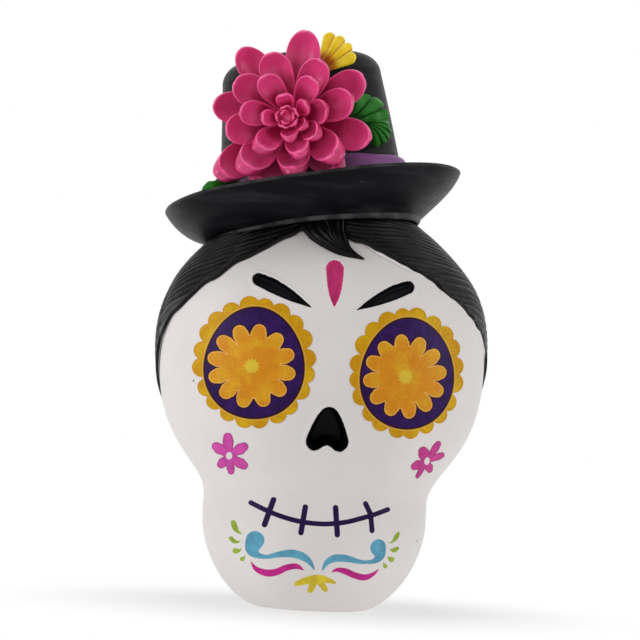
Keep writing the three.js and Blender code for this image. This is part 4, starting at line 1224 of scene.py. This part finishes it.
    def core(self, material):
        """Tapered heart that carries the petals, with its peg."""
        outline = np.array([(PEG_RADIUS, -PEG_LENGTH), (PEG_RADIUS, -0.1), (CORE_RADIUS - 0.6, 0.0),
                            (CORE_RADIUS, 0.6), (mix(CORE_RADIUS, CORE_TIP, 0.5), 0.5 * CORE_HEIGHT),
                            (CORE_TIP + 0.3, CORE_HEIGHT - 0.4), (CORE_TIP - 0.5, CORE_HEIGHT)])
        steps = np.linspace(0, 1, 6)[:-1, None]
        curve = [mix(start, end, v) for start, end in zip(outline[:-1], outline[1:]) for v in steps]
        curve = np.vstack(curve + [outline[-1:]])
        a = np.linspace(0, 2 * math.pi, 40, endpoint=False)
        rings = np.stack([curve[:, :1] * np.cos(a), curve[:, :1] * np.sin(a), curve[:, 1:] + 0 * a], -1)
        points, faces = lathe(rings, (0, 0, -PEG_LENGTH), (0, 0, CORE_HEIGHT))
        # The core is painted all in the petals' shade colour, a painted shade deep in the flower.
        make_piece("dahlia_core_cast", self.placed(points), faces, material, ["dahlia_core"],
                   {"relief": np.full(len(points), -1.0)})

    def bud(self, material):
        """Closed middle: two rings of small petals round two beads."""
        rows = (((96, 24, 312, 240, 168), 3.7, 2.0, (40, 84), 13.2),
                ((120, 0, 240), 2.3, 1.5, (52, 88), 14.0))
        made = []
        for angles, reach, half, slope, root in rows:
            for i, angle in enumerate(angles):
                made.append(self.petal(angle, {
                    "half": half, "root": root, "slope": slope, "cup": 0.6, "reach": reach, "thick": 0.7,
                    "core": False, "curl": 1.0, "blunt": 2.0, "down": 0.0, "seed": 200 + i}))
        a = np.linspace(0, 2 * math.pi, 20, endpoint=False)
        b = np.radians(np.linspace(-60, 84, 9))[:, None]
        # Beads painted paler on top and darker beneath: painted light and shade.
        for (x, y), size in (((0.0, 0.0), 2.2), ((0.5, 0.3), 1.0)):
            middle = BUD_HEIGHT + 2.1 / size
            rings = np.stack([x + size * np.cos(b) * np.cos(a), y + size * np.cos(b) * np.sin(a),
                              middle + 0.9 * size * np.sin(b) + 0 * a, -0.3 + 0.5 * np.sin(b) + 0 * a], -1)
            made.append(lathe(rings, (x, y, rings[0, 0, 2], -1.0), (x, y, middle + 0.9 * size, 0.3)))
        points, faces, count = [], [], 0
        for p, f in made:
            points.append(p)
            faces.extend([v + count for v in ring] for ring in (f if isinstance(f, list) else f.tolist()))
            count += len(p)
        points = np.vstack(points)
        # Painted light: the whole bud is painted paler, against the shade deep in the flower.
        points[:, 3] = np.minimum(1.0, points[:, 3] + 0.5)
        make_piece("dahlia_bud_cast", self.placed(points), faces, material,
                   ["dahlia_bud"], {"relief": points[:, 3]})

    def material(self, settings):
        made, tree, shader = new_material("petal_paint")
        paint = use(tree, hand_paint(), Colour=settings.petal, Mottle=0.06, Size=120.0,
                    Roughness=0.36, Spread=0.16)
        # Painted light and shade over the pink: paler rims, darker roots and undersides.
        worn_and_lit = use(tree, carved_paint(), Colour=paint["Colour"], Ridge=settings.petal_rim,
                   Hollow=settings.petal_hollow, Relief=mark(tree, "relief"))
        dress(tree, shader, worn_and_lit["Colour"], paint["Roughness"], paint["Height"], 0.15, SKIN, 0.4,
              coat=0.12, coat_roughness=0.28)
        return made


def fan_blade(root, angles, reach, ridges, shape):
    """Ribbed blade spread from a root: points as along-right, up, lift and relief, and their faces.

    reach gives the blade's length for a place of 0 to 1 across it, and ridges its count of fingers."""
    u = np.concatenate([np.linspace(shape["foot"], 0.8, 34), np.linspace(0.8, 1.0, 16)[1:]])[:, None]
    v = np.linspace(0, 1, 24 * ridges + 1)[None]
    finger = np.abs(np.sin(math.pi * ridges * v))
    scallop = 1 - shape["notch"] * (1 - finger ** 0.6) * smooth(u, 0.3, 1.0)
    run = reach(v) * u * scallop
    angle = np.radians(mix(angles[0], angles[1], v)) + shape["bend"] * u ** 2
    spread = math.radians(abs(angles[1] - angles[0]))
    edge = np.minimum((1 - u) * reach(v) * scallop, np.minimum(v, 1 - v) * run * spread)
    pin_rim(edge)
    round_edge = rounded(edge, RIM_ROUND)
    seam = ridge(finger, 0, shape["seam"]) * (np.minimum(v, 1 - v) > 0.4 / ridges)
    ribs = 0.5 + 0.5 * np.cos(2 * math.pi * 5 * ridges * v)
    lift = shape["crown"] * np.sin(math.pi * np.clip(u, 0, 1) ** 0.8) + shape["tip"] * u ** 2
    lift = lift + shape["arch"] * (4 * v * (1 - v)) * smooth(u, 0.0, 0.5)
    carve = smooth(u, 0.05, 0.35)
    crest = shape["crest"] * (seam if shape["raised"] else 1 - seam) * carve
    crest = crest + shape["fine"] * ribs * carve
    x, y = root[0] + run * np.cos(angle), root[1] + run * np.sin(angle)
    lift = lift + shape["crumple"] * wobble(np.stack([x, y, 0 * x], -1), 5.0, 91) * smooth(u, 0.1, 0.5)
    # Painted shade: darker towards the root and between the fine ribs.
    relief = mix(-0.9, 0.1, smooth(u, 0.1, 0.5)) - 0.35 * (1 - ribs) * carve
    if shape["raised"]:
        # A painted highlight on each raised seam, and a painted shadow line just beside it.
        pleat = ridge((ridges * v) % 1, 0.17, 0.07) * (v > 0.5 / ridges)
        relief = relief + 0.9 * (seam - 1.1 * pleat) * smooth(u, 0.2, 0.6)
    else:
        # Painted highlight on each finger's crown, and painted shade in the seams.
        relief = relief + 0.54 * smooth(finger, 0.5, 1.0) * smooth(u, 0.2, 0.6) - 0.6 * seam * carve
    ones = np.ones_like(x)
    outer = lift + shape["thick"] * (0.5 + 0.5 * round_edge) + crest * round_edge
    inner = lift + shape["thick"] * (0.5 - 0.5 * round_edge)
    return closed_sheet(np.stack([x, y, outer, relief * ones, u * ones], -1),
                        np.stack([x, y, inner, -1.0 * ones, u * ones], -1))


def on_crown(azimuth, height, points):
    """Lays points of right, up and lift on the crown's wall."""
    z = height + points[:, 1]
    r = crown_radius(z) + 0.5 + points[:, 2]
    a = math.radians(azimuth) + points[:, 0] / crown_radius(z)
    return on_hat(np.stack([r * np.sin(a), -r * np.cos(a), z], -1))


class SUGARSKULL_OT_marigold(bpy.types.Operator):
    """Makes the small yellow flower"""
    bl_idname = "sugarskull.marigold"
    bl_label = "Marigold"

    def execute(self, context):
        settings = context.scene.sugarskull_flower
        shape = {"notch": 0.1, "bend": 0.0, "crown": 1.0, "tip": 0.6, "arch": 2.2, "crest": 1.1,
                 "fine": 0.16, "thick": 1.8, "raised": True, "foot": 0.12, "seam": 0.34, "crumple": 0.15}
        points, faces = fan_blade((-3.0, -3.2), (14, 71), lambda v: 17.0 - 1.0 * (2 * v - 1) ** 2, 4, shape)
        axes, middle = outward_frame(9.0, 40.0, 0.0, 0.4)
        made, tree, shader = new_material("marigold_paint")
        paint = use(tree, hand_paint(), Colour=settings.marigold, Mottle=0.1, Size=150.0,
                    Roughness=0.4, Spread=0.15)
        foot = ramp(tree, mark(tree, "along"), 0.6, 0.4)
        # The foot is painted orange. Ridges get a painted highlight, and low places and pleat lines get the
        # foot's orange as painted shade.
        worn_and_lit = use(tree, carved_paint(), Colour=blend(tree, foot, paint["Colour"], settings.marigold_foot),
                   Ridge=srgb(250, 232, 96), Hollow=settings.marigold_foot, Relief=mark(tree, "relief"))
        dress(tree, shader, worn_and_lit["Colour"], paint["Roughness"], paint["Height"], 0.15, SKIN, 0.35)
        make_piece("marigold_cast", on_hat(points[:, :3] @ axes + middle), faces[:, ::-1], made,
                   ["marigold"], {"relief": points[:, 3], "along": points[:, 4]})
        return {"FINISHED"}


class SUGARSKULL_OT_leaves(bpy.types.Operator):
    """Makes the three green leaves"""
    bl_idname = "sugarskull.leaves"
    bl_label = "Leaves"

    def execute(self, context):
        settings = context.scene.sugarskull_flower
        made, tree, shader = new_material("leaf_paint")
        paint = use(tree, hand_paint(), Colour=settings.leaf, Mottle=0.16, Size=150.0,
                    Roughness=0.42, Spread=0.15)
        # Painted light and shade: a lighter green on the ridges as a painted highlight, a darker green in the
        # folds as painted shade.
        worn_and_lit = use(tree, carved_paint(), Colour=paint["Colour"],
                   Ridge=np.minimum(1.0, deeper(settings.leaf, 1.7)),
                   Hollow=settings.leaf_hollow, Relief=mark(tree, "relief"))
        dress(tree, shader, worn_and_lit["Colour"], paint["Roughness"], paint["Height"], 0.2, SKIN, 0.1)
        shape = {"notch": 0.1, "bend": 0.0, "crown": 2.4, "tip": 1.2, "arch": 1.4, "crest": 1.0,
                 "fine": 0.16, "thick": 1.4, "raised": False, "foot": 0.06, "seam": 0.22, "crumple": 0.6}
        blade = fan_blade((-3.4, -2.2), (0, 68), lambda v: 16.2 - 4.4 * smooth(v, 0.4, 1.0), 3, shape)
        self.leaf("leaf_upper", blade, on_crown(26.0, 21.4, blade[0]), made)
        shape.update(notch=0.07, crown=3.2, tip=1.6, arch=1.6, crest=0.9, fine=0.1, seam=0.32, crumple=0.35)
        blade = fan_blade((-1.6, 0.8), (-72, 6), lambda v: 9.8 + 1.9 * v, 5, shape)
        self.leaf("leaf_side", blade, on_crown(32.0, 18.9, blade[0]), made)
        shape.update(notch=0.03, bend=-0.18, crown=6.4, tip=-1.9, arch=1.0, crest=0.5, fine=0.05,
                     thick=1.2, seam=0.22, crumple=0.3)
        blade = fan_blade((0, 0), (-36, 36), lambda v: 17.2 - 21.0 * np.abs(v - 0.5), 4, shape)
        self.leaf("leaf_lower", blade, self.on_brim(-44.0, blade[0]), made)
        return {"FINISHED"}

    def leaf(self, node, blade, placed, material):
        """Leaf from a blade and the places of its points."""
        points, faces = blade
        make_piece(node + "_cast", placed, faces[:, ::-1], material, [node],
                   {"relief": points[:, 3]})

    def on_brim(self, azimuth, points):
        """Lays points of outward, sideways and lift on the brim's upper face."""
        curve = bezier(brim_curve(BRIM_FOOT_THICK, BRIM_THICK), np.linspace(0, 1, 60))
        r = BRIM_FOOT + points[:, 0]
        a = math.radians(azimuth) + points[:, 1] / (BRIM_FOOT + 6.0)
        z = np.interp(r, curve[:, 0], curve[:, 1])
        p = brim_shaped(np.stack([r * np.sin(a), -r * np.cos(a), z], -1))
        p[:, 2] += 0.6 + points[:, 2]
        return on_hat(p)


# Eyes: the egg, the flower's place and the depth of the notches between its petals
EYES = {"left": (-25.7, 84.4), "right": (26.2, 83.5)}
EGG, EGG_TAPER = (16.0, 18.35), 0.1
SCALLOPS, SCALLOP_RADIUS, SCALLOP_OVAL = 20, 3.1, (17.25, 19.2)
DAISY_OFF = (-0.9, -1.1)
DAISY_NOTCHES = (8.9, 8.5, 10.6, 11.0, 11.0, 9.3, 10.2, 11.2, 11.0, 9.4, 8.8, 10.4)

# Cheek flowers: their place, the radius of the heart, and each petal's tip and radius
CHEEK_FLOWERS = {
    "left": ((-32.0, 52.4), 1.9, (
        (-1.2, 8.0, 1.8), (5.8, 4.5, 1.9), (6.3, -3.8, 1.8), (1.2, -6.6, 1.3), (-3.3, -4.6, 1.7),
        (-5.9, 3.7, 1.9))),
    "right": ((35.4, 53.9), 1.5, (
        (4.1, 6.9, 1.45), (6.6, 2.4, 1.3), (2.2, -4.2, 1.5), (-3.1, -6.1, 0.98), (-5.7, -2.5, 1.7),
        (-2.9, 5.0, 2.1))),
}

# Mouth: height of the film's middle, its half sizes, the power of its outline and where its rows end
MOUTH_MIDDLE, MOUTH_HALF = 23.2, (32.0, 18.0)
MOUTH_POWER, MOUTH_END = 2.86, 0.985


class SUGARSKULL_OT_prints(bpy.types.Operator):
    """Makes the printed films: the eyes, the cheek flowers and the stitched mouth"""
    bl_idname = "sugarskull.prints"
    bl_label = "Prints"

    def execute(self, context):
        settings = context.scene.sugarskull_print
        skull = context.scene.sugarskull_skull
        ink = self.eye_ink(settings)
        for side, centre in EYES.items():
            self.eye("eye_decal_" + side, centre, 1 if side == "right" else -1, settings, ink)
        for side, flower in CHEEK_FLOWERS.items():
            ink = self.cheek_ink("cheek_print_" + side, getattr(settings, "cheek_" + side), skull)
            self.cheek("cheek_decal_" + side, flower, settings, ink)
        self.mouth(settings, skull)
        return {"FINISHED"}

    def scallops(self, x, z):
        """Signed distance to the scalloped edge of an eye."""
        rng = np.random.default_rng(91)
        best = np.full(np.shape(x), 1e3)
        for i in range(SCALLOPS):
            a = 2 * math.pi * (i + 0.5 + rng.uniform(-0.12, 0.12)) / SCALLOPS + math.pi / 2
            size = SCALLOP_RADIUS + rng.uniform(-0.3, 0.3)
            mid_x, mid_z = SCALLOP_OVAL[0] * math.cos(a), SCALLOP_OVAL[1] * math.sin(a)
            best = np.minimum(best, np.hypot(x - mid_x, z - mid_z) - size)
        return np.minimum(best, self.egg(x, z) - 1.1)

    def egg(self, x, z):
        """Signed distance to the dark ground of an eye."""
        return oval(x / (1 - EGG_TAPER * z / EGG[1]), z, *EGG)

    def daisy(self, x, z):
        """Signed distance to the flower of an eye."""
        count = len(DAISY_NOTCHES)
        angle = np.degrees(np.arctan2(z, x)) / (360 / count) % count
        notch = np.interp(angle, np.arange(count + 1) + 0.8, DAISY_NOTCHES + DAISY_NOTCHES[:1])
        best = np.hypot(x, z) - notch
        for i in range(count):
            a = 2 * math.pi * (i + 0.3) / count
            c, s = math.cos(a), math.sin(a)
            path = [(6 * c, 6 * s, 2.0), (11.2 * c, 10.8 * s, 2.66), (12.4 * c, 11.95 * s, 2.3)]
            best = np.minimum(best, stroke(x, z, path))
        return best

    def star(self, x, z):
        """Signed distance to the middle of an eye's flower."""
        a = np.arctan2(z, x)
        return np.hypot(x, z) - (2.25 + 0.4 * np.cos(12 * a))

    def polar(self, reach, rings):
        """Rings of places round a middle, out to a reach in each direction."""
        angle = np.linspace(0, 2 * math.pi, len(reach), endpoint=False)
        radius = np.linspace(0, 1, rings + 1)[1:, None]
        return radius * reach * np.cos(angle), radius * reach * np.sin(angle)

    def reach_of(self, distance, furthest, count):
        """Furthest place inside a shape in each direction round its middle."""
        angle = np.linspace(0, 2 * math.pi, count, endpoint=False)
        radius = np.linspace(0.5, furthest, 500)[:, None]
        inside = distance(radius * np.cos(angle), radius * np.sin(angle)) < 0
        return np.max(np.where(inside, radius, 0.5), axis=0)

    def film(self, node, centre, x, z, thick, material, slot, marks):
        """Closed film on the face, over rings of places round a centre."""
        px, pz = centre[0] + x, centre[1] + z
        middle = np.array(centre[0]), np.array(centre[1])
        top = face_point(px, pz, np.full(px.shape, thick))
        rim = face_point(px[-1:], pz[-1:], np.full((1, px.shape[1]), FILM_FOOT))
        low = face_point(px[::-4], pz[::-4], np.full(px[::-4].shape, FILM_FOOT))
        points, faces = lathe(np.concatenate([low[::-1][:-1], rim, top[::-1]]),
                              face_point(*middle, np.array(FILM_FOOT)), face_point(*middle, np.array(thick)))
        laid = {}
        for key, values in marks.items():
            rows = np.concatenate([values[::-4][::-1][:-1], values[-1:], values[::-1]])
            laid[key] = np.append(rows.ravel(), [values[0, 0], values[0, 0]])
        make_piece(node + "_film", points, faces, material, [node], laid, crisp=True)

    def eye(self, node, centre, side, settings, material):
        """Film of an eye. The right one is mirrored, so its rings run the other way round."""
        x, z = self.polar(self.reach_of(self.scallops, 26.0, 480), 72)
        x = -side * x
        across, up = x - DAISY_OFF[0], z - DAISY_OFF[1]
        marks = {"egg": self.egg(x, z), "daisy": self.daisy(side * across, up),
                 "star": self.star(across, up), "rim": self.scallops(x, z)}
        marks = {key: values[:, ::-side] for key, values in marks.items()}
        self.film(node, centre, x[:, ::-side], z[:, ::-side], settings.film / MM, material,
                  "eye_print", marks)

    def line(self, tree, distance, at, half):
        """Distance to a line that runs beside an outline."""
        gap = sums(tree, "ABSOLUTE", sums(tree, "SUBTRACT", distance, at))
        return sums(tree, "SUBTRACT", gap, half)

    def varnish(self, tree, shader, base):
        """Even skin over a print."""
        skin = use(tree, hand_paint(), Colour=base, Mottle=0.03, Size=200.0, Roughness=0.4, Spread=0.1)
        dress(tree, shader, skin["Colour"], skin["Roughness"], skin["Height"], 0.06, FILM_SKIN, 0.08)

    def eye_ink(self, settings):
        """Print of the eyes: layers of ink from the scallops up to the star."""
        made, tree, shader = new_material("eye_print")
        egg, daisy, star, rim = (mark(tree, k) for k in ("egg", "daisy", "star", "rim"))
        deep = deeper(settings.scallop, (0.88, 0.72, 0.6))
        orange = deeper(settings.daisy, (0.96, 0.72, 0.75))
        base = use(tree, watercolour(), Pale=settings.scallop, Deep=deep, Size=110.0)["Colour"]
        flower = use(tree, watercolour(), Pale=settings.daisy, Deep=orange, Size=160.0)["Colour"]
        ground = use(tree, watercolour(), Pale=settings.egg, Deep=deeper(settings.egg, 0.62),
                     Size=260.0)["Colour"]
        layers = ((self.line(tree, rim, -0.1, 0.2), deep),
                  (self.line(tree, egg, 0.92, 0.12), srgb(214, 166, 84)),
                  (sums(tree, "SUBTRACT", egg, 0.6), settings.outline), (egg, ground),
                  (sums(tree, "SUBTRACT", daisy, 0.42), settings.outline), (daisy, srgb(228, 168, 84)),
                  (sums(tree, "ADD", daisy, 0.35), flower), (star, settings.star))
        for distance, ink in layers:
            base = use(tree, ink_over(), Under=base, Ink=ink, Distance=distance, Softness=0.12)["Colour"]
        self.varnish(tree, shader, base)
        return made

    def cheek(self, node, flower, settings, material):
        """Film of a cheek flower, cut along its petals."""
        centre, heart, petals = flower

        def distance(x, z):
            best = np.hypot(x, z) - heart
            for px, pz, r in petals:
                k = 1 - r / math.hypot(px, pz)
                path = [(0.15 * px, 0.15 * pz, 0.55 * heart), ((k - 0.16) * px, (k - 0.16) * pz, r),
                        ((k + 0.03) * px, (k + 0.03) * pz, 0.8 * r)]
                best = np.minimum(best, stroke(x, z, path))
            return best
        x, z = self.polar(self.reach_of(distance, 10.0, 300), 24)
        marks = {"hole": oval(x, z, 1.02, 1.3), "edge": distance(x, z)}
        self.film(node, centre, x, z, settings.film / MM, material, "cheek_print", marks)

    def cheek_ink(self, name, ink, skull):
        """Print of a cheek flower: wash, darker rim and bare hole."""
        made, tree, shader = new_material(name)
        wash = use(tree, watercolour(), Pale=ink, Deep=deeper(ink, 0.8), Size=260.0)["Colour"]
        edge = use(tree, ink_over(), Under=wash, Ink=deeper(ink, 0.55),
                   Distance=self.line(tree, mark(tree, "edge"), -0.1, 0.14), Softness=0.14)["Colour"]
        holed = use(tree, ink_over(), Under=edge, Ink=bone(tree, skull)["Colour"],
                    Distance=mark(tree, "hole"), Softness=0.1)["Colour"]
        self.varnish(tree, shader, holed)
        return made

    def mouth_strokes(self):
        """Strokes of each ink, as rows of x, z and radius."""
        line = [(x, z, 0.85) for x, z in ((-23.8, 36.8), (-18.4, 34.5), (-12.5, 32.6), (-6.2, 31.4),
                                          (1.0, 31.1), (7.9, 32.0), (13.0, 33.4), (18.1, 35.0), (22.8, 36.8))]
        stitches = [((-16.4, 38.4, 0.95), (-18.9, 29.7, 0.95)), ((-5.7, 36.5, 0.95), (-6.7, 27.8, 0.95)),
                    ((4.5, 36.8, 0.95), (5.6, 27.7, 0.95)),
                    ((14.7, 38.6, 0.9), (16.7, 35.0, 0.9), (17.5, 29.5, 0.9))]
        blue = (((-21.65, 24.25, 3.05), (-22.25, 22.4, 2.6), (-22.5, 21.0, 2.05), (-21.8, 19.9, 1.55),
                 (-20.1, 19.0, 1.0), (-17.3, 18.8, 0.72), (-14.3, 19.7, 0.95), (-10.0, 20.5, 1.35),
                 (-6.1, 19.9, 1.35), (-3.1, 18.0, 0.9), (-1.3, 15.4, 0.2)),
                ((20.1, 23.8, 2.82), (20.7, 22.4, 2.3), (21.0, 21.15, 1.8), (20.4, 20.0, 1.4),
                 (18.8, 18.95, 0.85), (16.25, 18.6, 0.64), (13.4, 18.8, 0.8), (9.2, 19.7, 1.2),
                 (5.2, 19.6, 1.3), (2.6, 17.9, 0.9), (1.4, 15.2, 0.2)))
        magenta = (((-22.5, 16.6, 0.15), (-20.4, 14.2, 0.85), (-17.0, 13.2, 1.25), (-13.8, 13.8, 1.2),
                    (-10.7, 15.5, 1.1), (-7.4, 16.2, 0.95), (-4.9, 15.1, 0.2)),
                   ((4.7, 14.9, 0.2), (6.7, 15.7, 0.75), (9.7, 15.1, 1.1), (12.7, 13.9, 1.1),
                    (16.3, 13.2, 1.1), (19.2, 14.4, 0.7), (21.0, 16.2, 0.15)))
        yellow = [((-1.3, 12.25, 1.3), (-4.3, 11.2, 1.32), (-6.8, 10.1, 0.85)),
                  ((-1.05, 11.8, 1.4), (-1.5, 9.5, 1.2), (-1.9, 8.1, 1.05)),
                  ((0.55, 11.85, 1.35), (2.1, 9.8, 1.05), (3.15, 8.5, 0.88)),
                  ((0.95, 12.3, 1.25), (4.1, 11.8, 0.9), (5.95, 11.1, 0.55)),
                  ((-3.3, 11.8, 1.1), (-0.85, 12.4, 1.28), (1.4, 12.35, 1.25), (2.8, 12.25, 1.05))]
        green = (((-29.1, 29.5, 0.9), (-28.5, 27.95, 0.98), (-27.45, 26.6, 0.55), (-25.9, 25.85, 0.1)),
                 ((-29.5, 23.95, 0.78), (-28.4, 23.15, 0.7), (-27.3, 23.05, 0.4), (-26.45, 23.5, 0.1)),
                 ((-27.75, 19.85, 1.02), (-26.6, 20.1, 0.5), (-25.8, 21.05, 0.1)),
                 ((-25.35, 17.25, 0.78), (-24.75, 18.0, 0.28), (-24.55, 18.85, 0.08)),
                 ((27.0, 28.6, 0.64), (26.4, 27.45, 0.85), (25.35, 26.05, 0.45), (23.8, 25.15, 0.1)),
                 ((27.1, 23.5, 0.68), (26.0, 22.9, 0.8), (24.4, 23.05, 0.12)),
                 ((25.4, 19.65, 0.96), (24.5, 20.0, 0.55), (23.65, 20.75, 0.1)),
                 ((23.3, 17.25, 0.76), (22.8, 17.9, 0.36), (22.55, 18.75, 0.08)))
        return {"stitch": [spline(line, 4), *stitches], "blue": [spline(path, 5) for path in blue],
                "magenta": [spline(path, 5) for path in magenta], "yellow": yellow,
                "green": [spline(path, 5) for path in green]}

    def mouth(self, settings, skull):
        """Film of the mouth and chin, which runs out thin into the skull."""
        v = np.linspace(-MOUTH_END, MOUTH_END, 118)[:, None]
        u = np.linspace(-1, 1, 190)[None]
        narrow = 1 - 0.35 * np.maximum(0, -v) ** 1.5
        x = MOUTH_HALF[0] * (1 - np.abs(v) ** MOUTH_POWER) ** (1 / MOUTH_POWER) * narrow * u
        z = MOUTH_MIDDLE + MOUTH_HALF[1] * v + 0 * u
        marks = {key: np.min([stroke(x, z, path) for path in strokes], axis=0)
                 for key, strokes in self.mouth_strokes().items()}
        edge = np.minimum(1 - np.abs(u), 1 - np.abs(v) / MOUTH_END)
        thick = settings.film / MM * mix(-0.3, 1.0, smooth(edge, 0.0, 0.12))
        inks = np.stack(list(marks.values()), -1)
        top = np.concatenate([face_point(x, z, thick), inks], -1)
        low = np.concatenate([face_point(x, z, np.full(x.shape, 0.015)), inks], -1)
        points, faces = closed_sheet(top, low)
        laid = {key: points[:, 3 + i] for i, key in enumerate(marks)}
        make_piece("mouth_decal_film", points, faces, self.mouth_ink(settings, skull),
                   ["mouth_decal"], laid, crisp=True)

    def mouth_ink(self, settings, skull):
        """Print of the mouth and the chin's scrolls on the skull's white."""
        made, tree, shader = new_material("mouth_print")
        paint = bone(tree, skull)
        base = paint["Colour"]
        for key in ("blue", "magenta", "yellow", "green", "stitch"):
            ink = settings.mouth if key == "stitch" else getattr(settings, key)
            wash = use(tree, watercolour(), Pale=ink, Deep=deeper(ink, 0.78), Size=240.0)["Colour"]
            base = use(tree, ink_over(), Under=base, Ink=wash, Distance=mark(tree, key),
                       Softness=0.12)["Colour"]
        dress(tree, shader, base, paint["Roughness"], paint["Height"], 0.12, SKIN, 0.07)
        return made


class SUGARSKULL_PT_panel(bpy.types.Panel):
    """Lists the pieces of the sugar skull and their settings"""
    bl_idname = "SUGARSKULL_PT_panel"
    bl_label = "Sugar skull"
    bl_space_type = "VIEW_3D"
    bl_region_type = "UI"
    bl_category = "Sugar skull"

    def draw(self, context):
        for operator in OPERATORS:
            self.layout.operator(operator.bl_idname)
        for name in SETTINGS:
            box = self.layout.box()
            group = getattr(context.scene, name)
            for key in group.__annotations__:
                box.prop(group, key)


SETTINGS = {
    "sugarskull_stage": StageSettings,
    "sugarskull_skull": SkullSettings,
    "sugarskull_hair": HairSettings,
    "sugarskull_hat": HatSettings,
    "sugarskull_flower": FlowerSettings,
    "sugarskull_print": PrintSettings,
}
OPERATORS = (
    SUGARSKULL_OT_stage, SUGARSKULL_OT_skull, SUGARSKULL_OT_hair, SUGARSKULL_OT_hat,
    SUGARSKULL_OT_dahlia, SUGARSKULL_OT_marigold, SUGARSKULL_OT_leaves, SUGARSKULL_OT_prints,
)


def register():
    for made in (*SETTINGS.values(), *OPERATORS, SUGARSKULL_PT_panel):
        bpy.utils.register_class(made)
    for name, group in SETTINGS.items():
        setattr(bpy.types.Scene, name, PointerProperty(type=group))


def unregister():
    for name in SETTINGS:
        delattr(bpy.types.Scene, name)
    for made in (SUGARSKULL_PT_panel, *reversed(OPERATORS), *reversed(SETTINGS.values())):
        bpy.utils.unregister_class(made)


def main():
    register()
    bpy.ops.sugarskull.stage()
    bpy.ops.sugarskull.skull()
    bpy.ops.sugarskull.hair()
    bpy.ops.sugarskull.hat()
    bpy.ops.sugarskull.dahlia()
    bpy.ops.sugarskull.marigold()
    bpy.ops.sugarskull.leaves()
    bpy.ops.sugarskull.prints()


if __name__ == "__main__":
    main()
